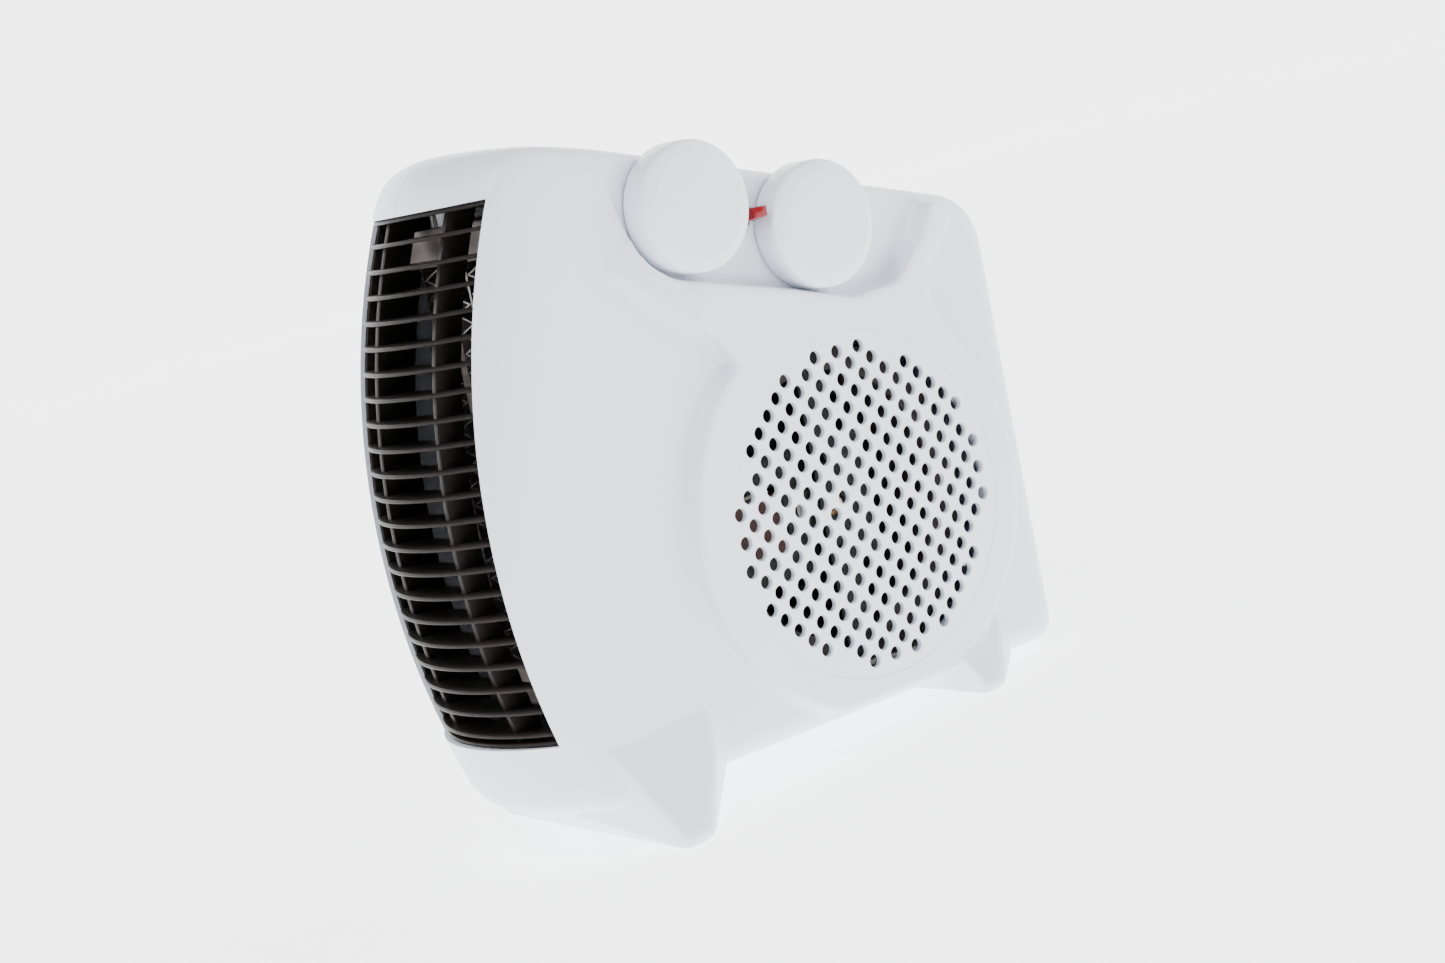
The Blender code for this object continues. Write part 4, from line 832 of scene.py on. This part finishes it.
def uprightBand(near, far, x, thick, steps=30):
    # an upright bar that follows the bowed front, from near to far behind it
    low = grille["bottom"] - grille["margin"] / 2 + grille["fit"]
    high = grille["top"] + grille["margin"] - grille["fit"]
    drop = frontDrop(abs(x), casing["panelHalf"])
    heights = [low + (high - low) * step / steps for step in range(steps + 1)]
    outer = [(frontY(z, drop + near), z) for z in heights]
    inner = [(frontY(z, drop + far), z) for z in reversed(heights)]
    bar = held(slab(outer + inner, x - thick / 2, x + thick / 2))
    edge = bar.modifiers.new("edge", "BEVEL")
    edge.width = 0.35
    edge.segments = 2
    edge.limit_method = "ANGLE"
    return worked(bar)


slats = slatTree()
drum = {"Drum radius": casing["frontRadius"], "Axis Y": casing["frontAxis"][0],
        "Axis Z": casing["frontAxis"][1], "Look": looks["grille"]}
slatRow = grown(slatMesh(), slats, {
    "Count": grille["count"], "First height": grille["bottom"], "Last height": grille["top"], **drum})
endRails = grown(slatMesh(), slats, {
    "Count": 2, "First height": grille["bottom"] - grille["margin"] / 2 + grille["endInset"],
    "Last height": grille["top"] + grille["margin"] - grille["endInset"], **drum})
railX = grille["half"] - grille["fit"] - grille["railThick"] / 2
bars = []
for start, depth, x, thick in (
        (grille["railStart"], grille["railDepth"], railX, grille["railThick"]),
        (grille["ribStart"], grille["ribDepth"], grille["ribX"], grille["ribThick"])):
    bars += [uprightBand(grille["inset"] + start, depth, side * x, thick) for side in (-1, 1)]
grilleMesh = joinedMeshes([slatRow, endRails, *bars])
finished("outletGrille", grilleMesh, looks["grille"], "casing", ["outlet_grille"])
print("outlet grille", len(grilleMesh.polygons))


# ---- knobs
def knobMesh(place):
    base, top, radius = knobs["base"], knobs["base"] + knobs["height"], knobs["radius"]
    profile = [(0.0, top)]
    profile += [(radius - 5.2, top), (radius - 4.6, top - 0.06), (radius - 1.5, top - 1.45)]
    profile += [(radius - 0.9, top - 1.8), (radius - 0.45, top - 2.4), (radius - 0.25, top - 3.2)]
    profile += [(radius, base + 0.5), (radius - 0.15, base + 0.15), (radius - 0.5, base)]
    inner = radius - knobs["wall"]
    profile += [(inner + 0.3, base), (inner, base + 0.3), (inner, top - knobs["wall"] - 1.6),
                (inner - 2.0, top - knobs["wall"] - 0.2), (0.0, top - knobs["wall"] - 0.2)]
    return turned(profile, *place, sides=128)


for body, name in (("power_control", "power"), ("thermostat_control", "thermostat")):
    finished(name + "Knob", knobMesh(knobs[name]), looks["knob"], body, [name + "_knob"], sharp=40.0)
print("knobs")


# ---- pilot lens, a wedge between the knobs
def lensMesh():
    wide, tall = lens["width"] / 2, lens["height"] / 2
    sideLap, endLap = lens["lap"]
    tip = lens["tip"]
    wedge = held(hull([(x, lens["y"] + a, lens["z"] + b) for x in (lens["back"], tip) for a in (-wide, wide)
                       for b in ((-tall, tall) if x < tip else (-tall / 3, tall * 0.8))]))
    edge = wedge.modifiers.new("edge", "BEVEL")
    edge.width = 0.6
    edge.segments = 4
    flange = held(block(lens["flange"], (lens["y"] - wide - sideLap, lens["y"] + wide + sideLap),
                        (lens["z"] - tall - endLap, lens["z"] + tall + endLap)))
    soft = flange.modifiers.new("edge", "BEVEL")
    soft.width = 0.3
    soft.segments = 2
    return joinedMeshes([worked(wedge), worked(flange)])


finished("pilotLens", lensMesh(), looks["lens"], "casing", ["pilot_lens"])


# ---- floor, lights and camera
def lamp(name, spot, aim, size, power):
    data = bpy.data.lights.new(name, "AREA")
    data.shape = "DISK"
    data.size = size
    data.energy = power
    light = bpy.data.objects.new(name, data)
    bpy.context.scene.collection.objects.link(light)
    light.location = spot
    light.rotation_mode = "QUATERNION"
    light.rotation_quaternion = (Vector(aim) - Vector(spot)).to_track_quat("-Z", "Y")


studio = {
    "flat": 2.6, "bend": 1.6, "bendSteps": 12, "rise": 1.2, "glow": 2.6, "near": 0.7,
    "towardsCamera": (0.81, -0.586), "tones": ((0.87, 0.87, 0.87), (0.90, 0.90, 0.90)),
    "world": (0.95, 0.975, 1.0), "worldPower": 0.75,
    "key": ((0.5, -1.0, 2.0), 0.7, 33.0), "fill": ((1.6, 0.2, 0.9), 1.0, 5.0),
    "back": ((0.5, 1.6, 1.3), 0.9, 7.0),
}
# a pale glowing floor that curves up into a low wall
bend, flat, bendSteps = studio["bend"], studio["flat"], studio["bendSteps"]
bowl = [(0.0, 0.0), (flat, 0.0)]
for step in range(1, bendSteps + 1):
    turn = math.pi / 2 * step / bendSteps
    bowl.append((flat + bend * math.sin(turn), bend - bend * math.cos(turn)))
bowl.append((flat + bend, bend + studio["rise"]))
floorMesh = turned(bowl, 0.0, 0.0)
floorMesh.transform(Matrix.Translation((0, 0, cadBox[0].z)) @ Matrix.Rotation(-math.pi / 2, 4, "Y"))
# the wall stands only behind the heater, as a paper sweep does
work = bmesh.new()
work.from_mesh(floorMesh)
ahead = Vector((*studio["towardsCamera"], 0.0))
front = [face for face in work.faces if face.calc_center_median().dot(ahead) > studio["near"]
         and face.calc_center_median().z > cadBox[0].z + 0.001]
bmesh.ops.delete(work, geom=front, context="FACES")
work.to_mesh(floorMesh)
work.free()
floorMesh.shade_smooth()
floor = bpy.data.objects.new("floor", floorMesh)
bpy.context.scene.collection.objects.link(floor)
floorLook = moulded("floorPaper", *studio["tones"], (0.7, 0.8), 300.0, 0.02)
floorShader = floorLook.node_tree.nodes["Principled BSDF"]
floorShader.inputs["Emission Color"].default_value = (1.0, 1.0, 1.0, 1.0)
floorShader.inputs["Emission Strength"].default_value = studio["glow"]
floor.data.materials.append(floorLook)
middle = (cadBox[0] + cadBox[1]) / 2
for name in ("key", "fill", "back"):
    spot, size, power = studio[name]
    lamp(name + "Light", spot, middle, size, power)
world = bpy.data.worlds.new("studioWorld")
world.use_nodes = True
sky = world.node_tree.nodes["Background"]
sky.inputs["Color"].default_value = (*studio["world"], 1.0)
sky.inputs["Strength"].default_value = studio["worldPower"]
bpy.context.scene.world = world

# the camera's place and aim, in the casing's own millimetres
view = {"spot": (721.03, -544.54, 140.37), "aim": (-0.80271, 0.57971, -0.13996),
        "right": (0.59633, 0.77746, -0.19986), "lens": 59.476, "sensor": 36.0}
turn = Matrix.Rotation(-stand["lean"], 3, "X")
aim = (turn @ Vector(view["aim"])).normalized()
right = (turn @ Vector(view["right"])).normalized()
up = right.cross(aim).normalized()
pose = Matrix((right, up, -aim)).transposed().to_4x4()
pose.translation = casingPlace @ Vector(view["spot"])
cameraData = bpy.data.cameras.new("camera")
cameraData.sensor_width = view["sensor"]
cameraData.lens = view["lens"]
cameraData.clip_start = 0.01
cameraData.clip_end = 50.0
camera = bpy.data.objects.new("camera", cameraData)
camera.matrix_world = pose
bpy.context.scene.collection.objects.link(camera)
bpy.context.scene.camera = camera

for left in list(workbench.objects):
    bpy.data.objects.remove(left, do_unlink=True)
bpy.data.collections.remove(workbench)
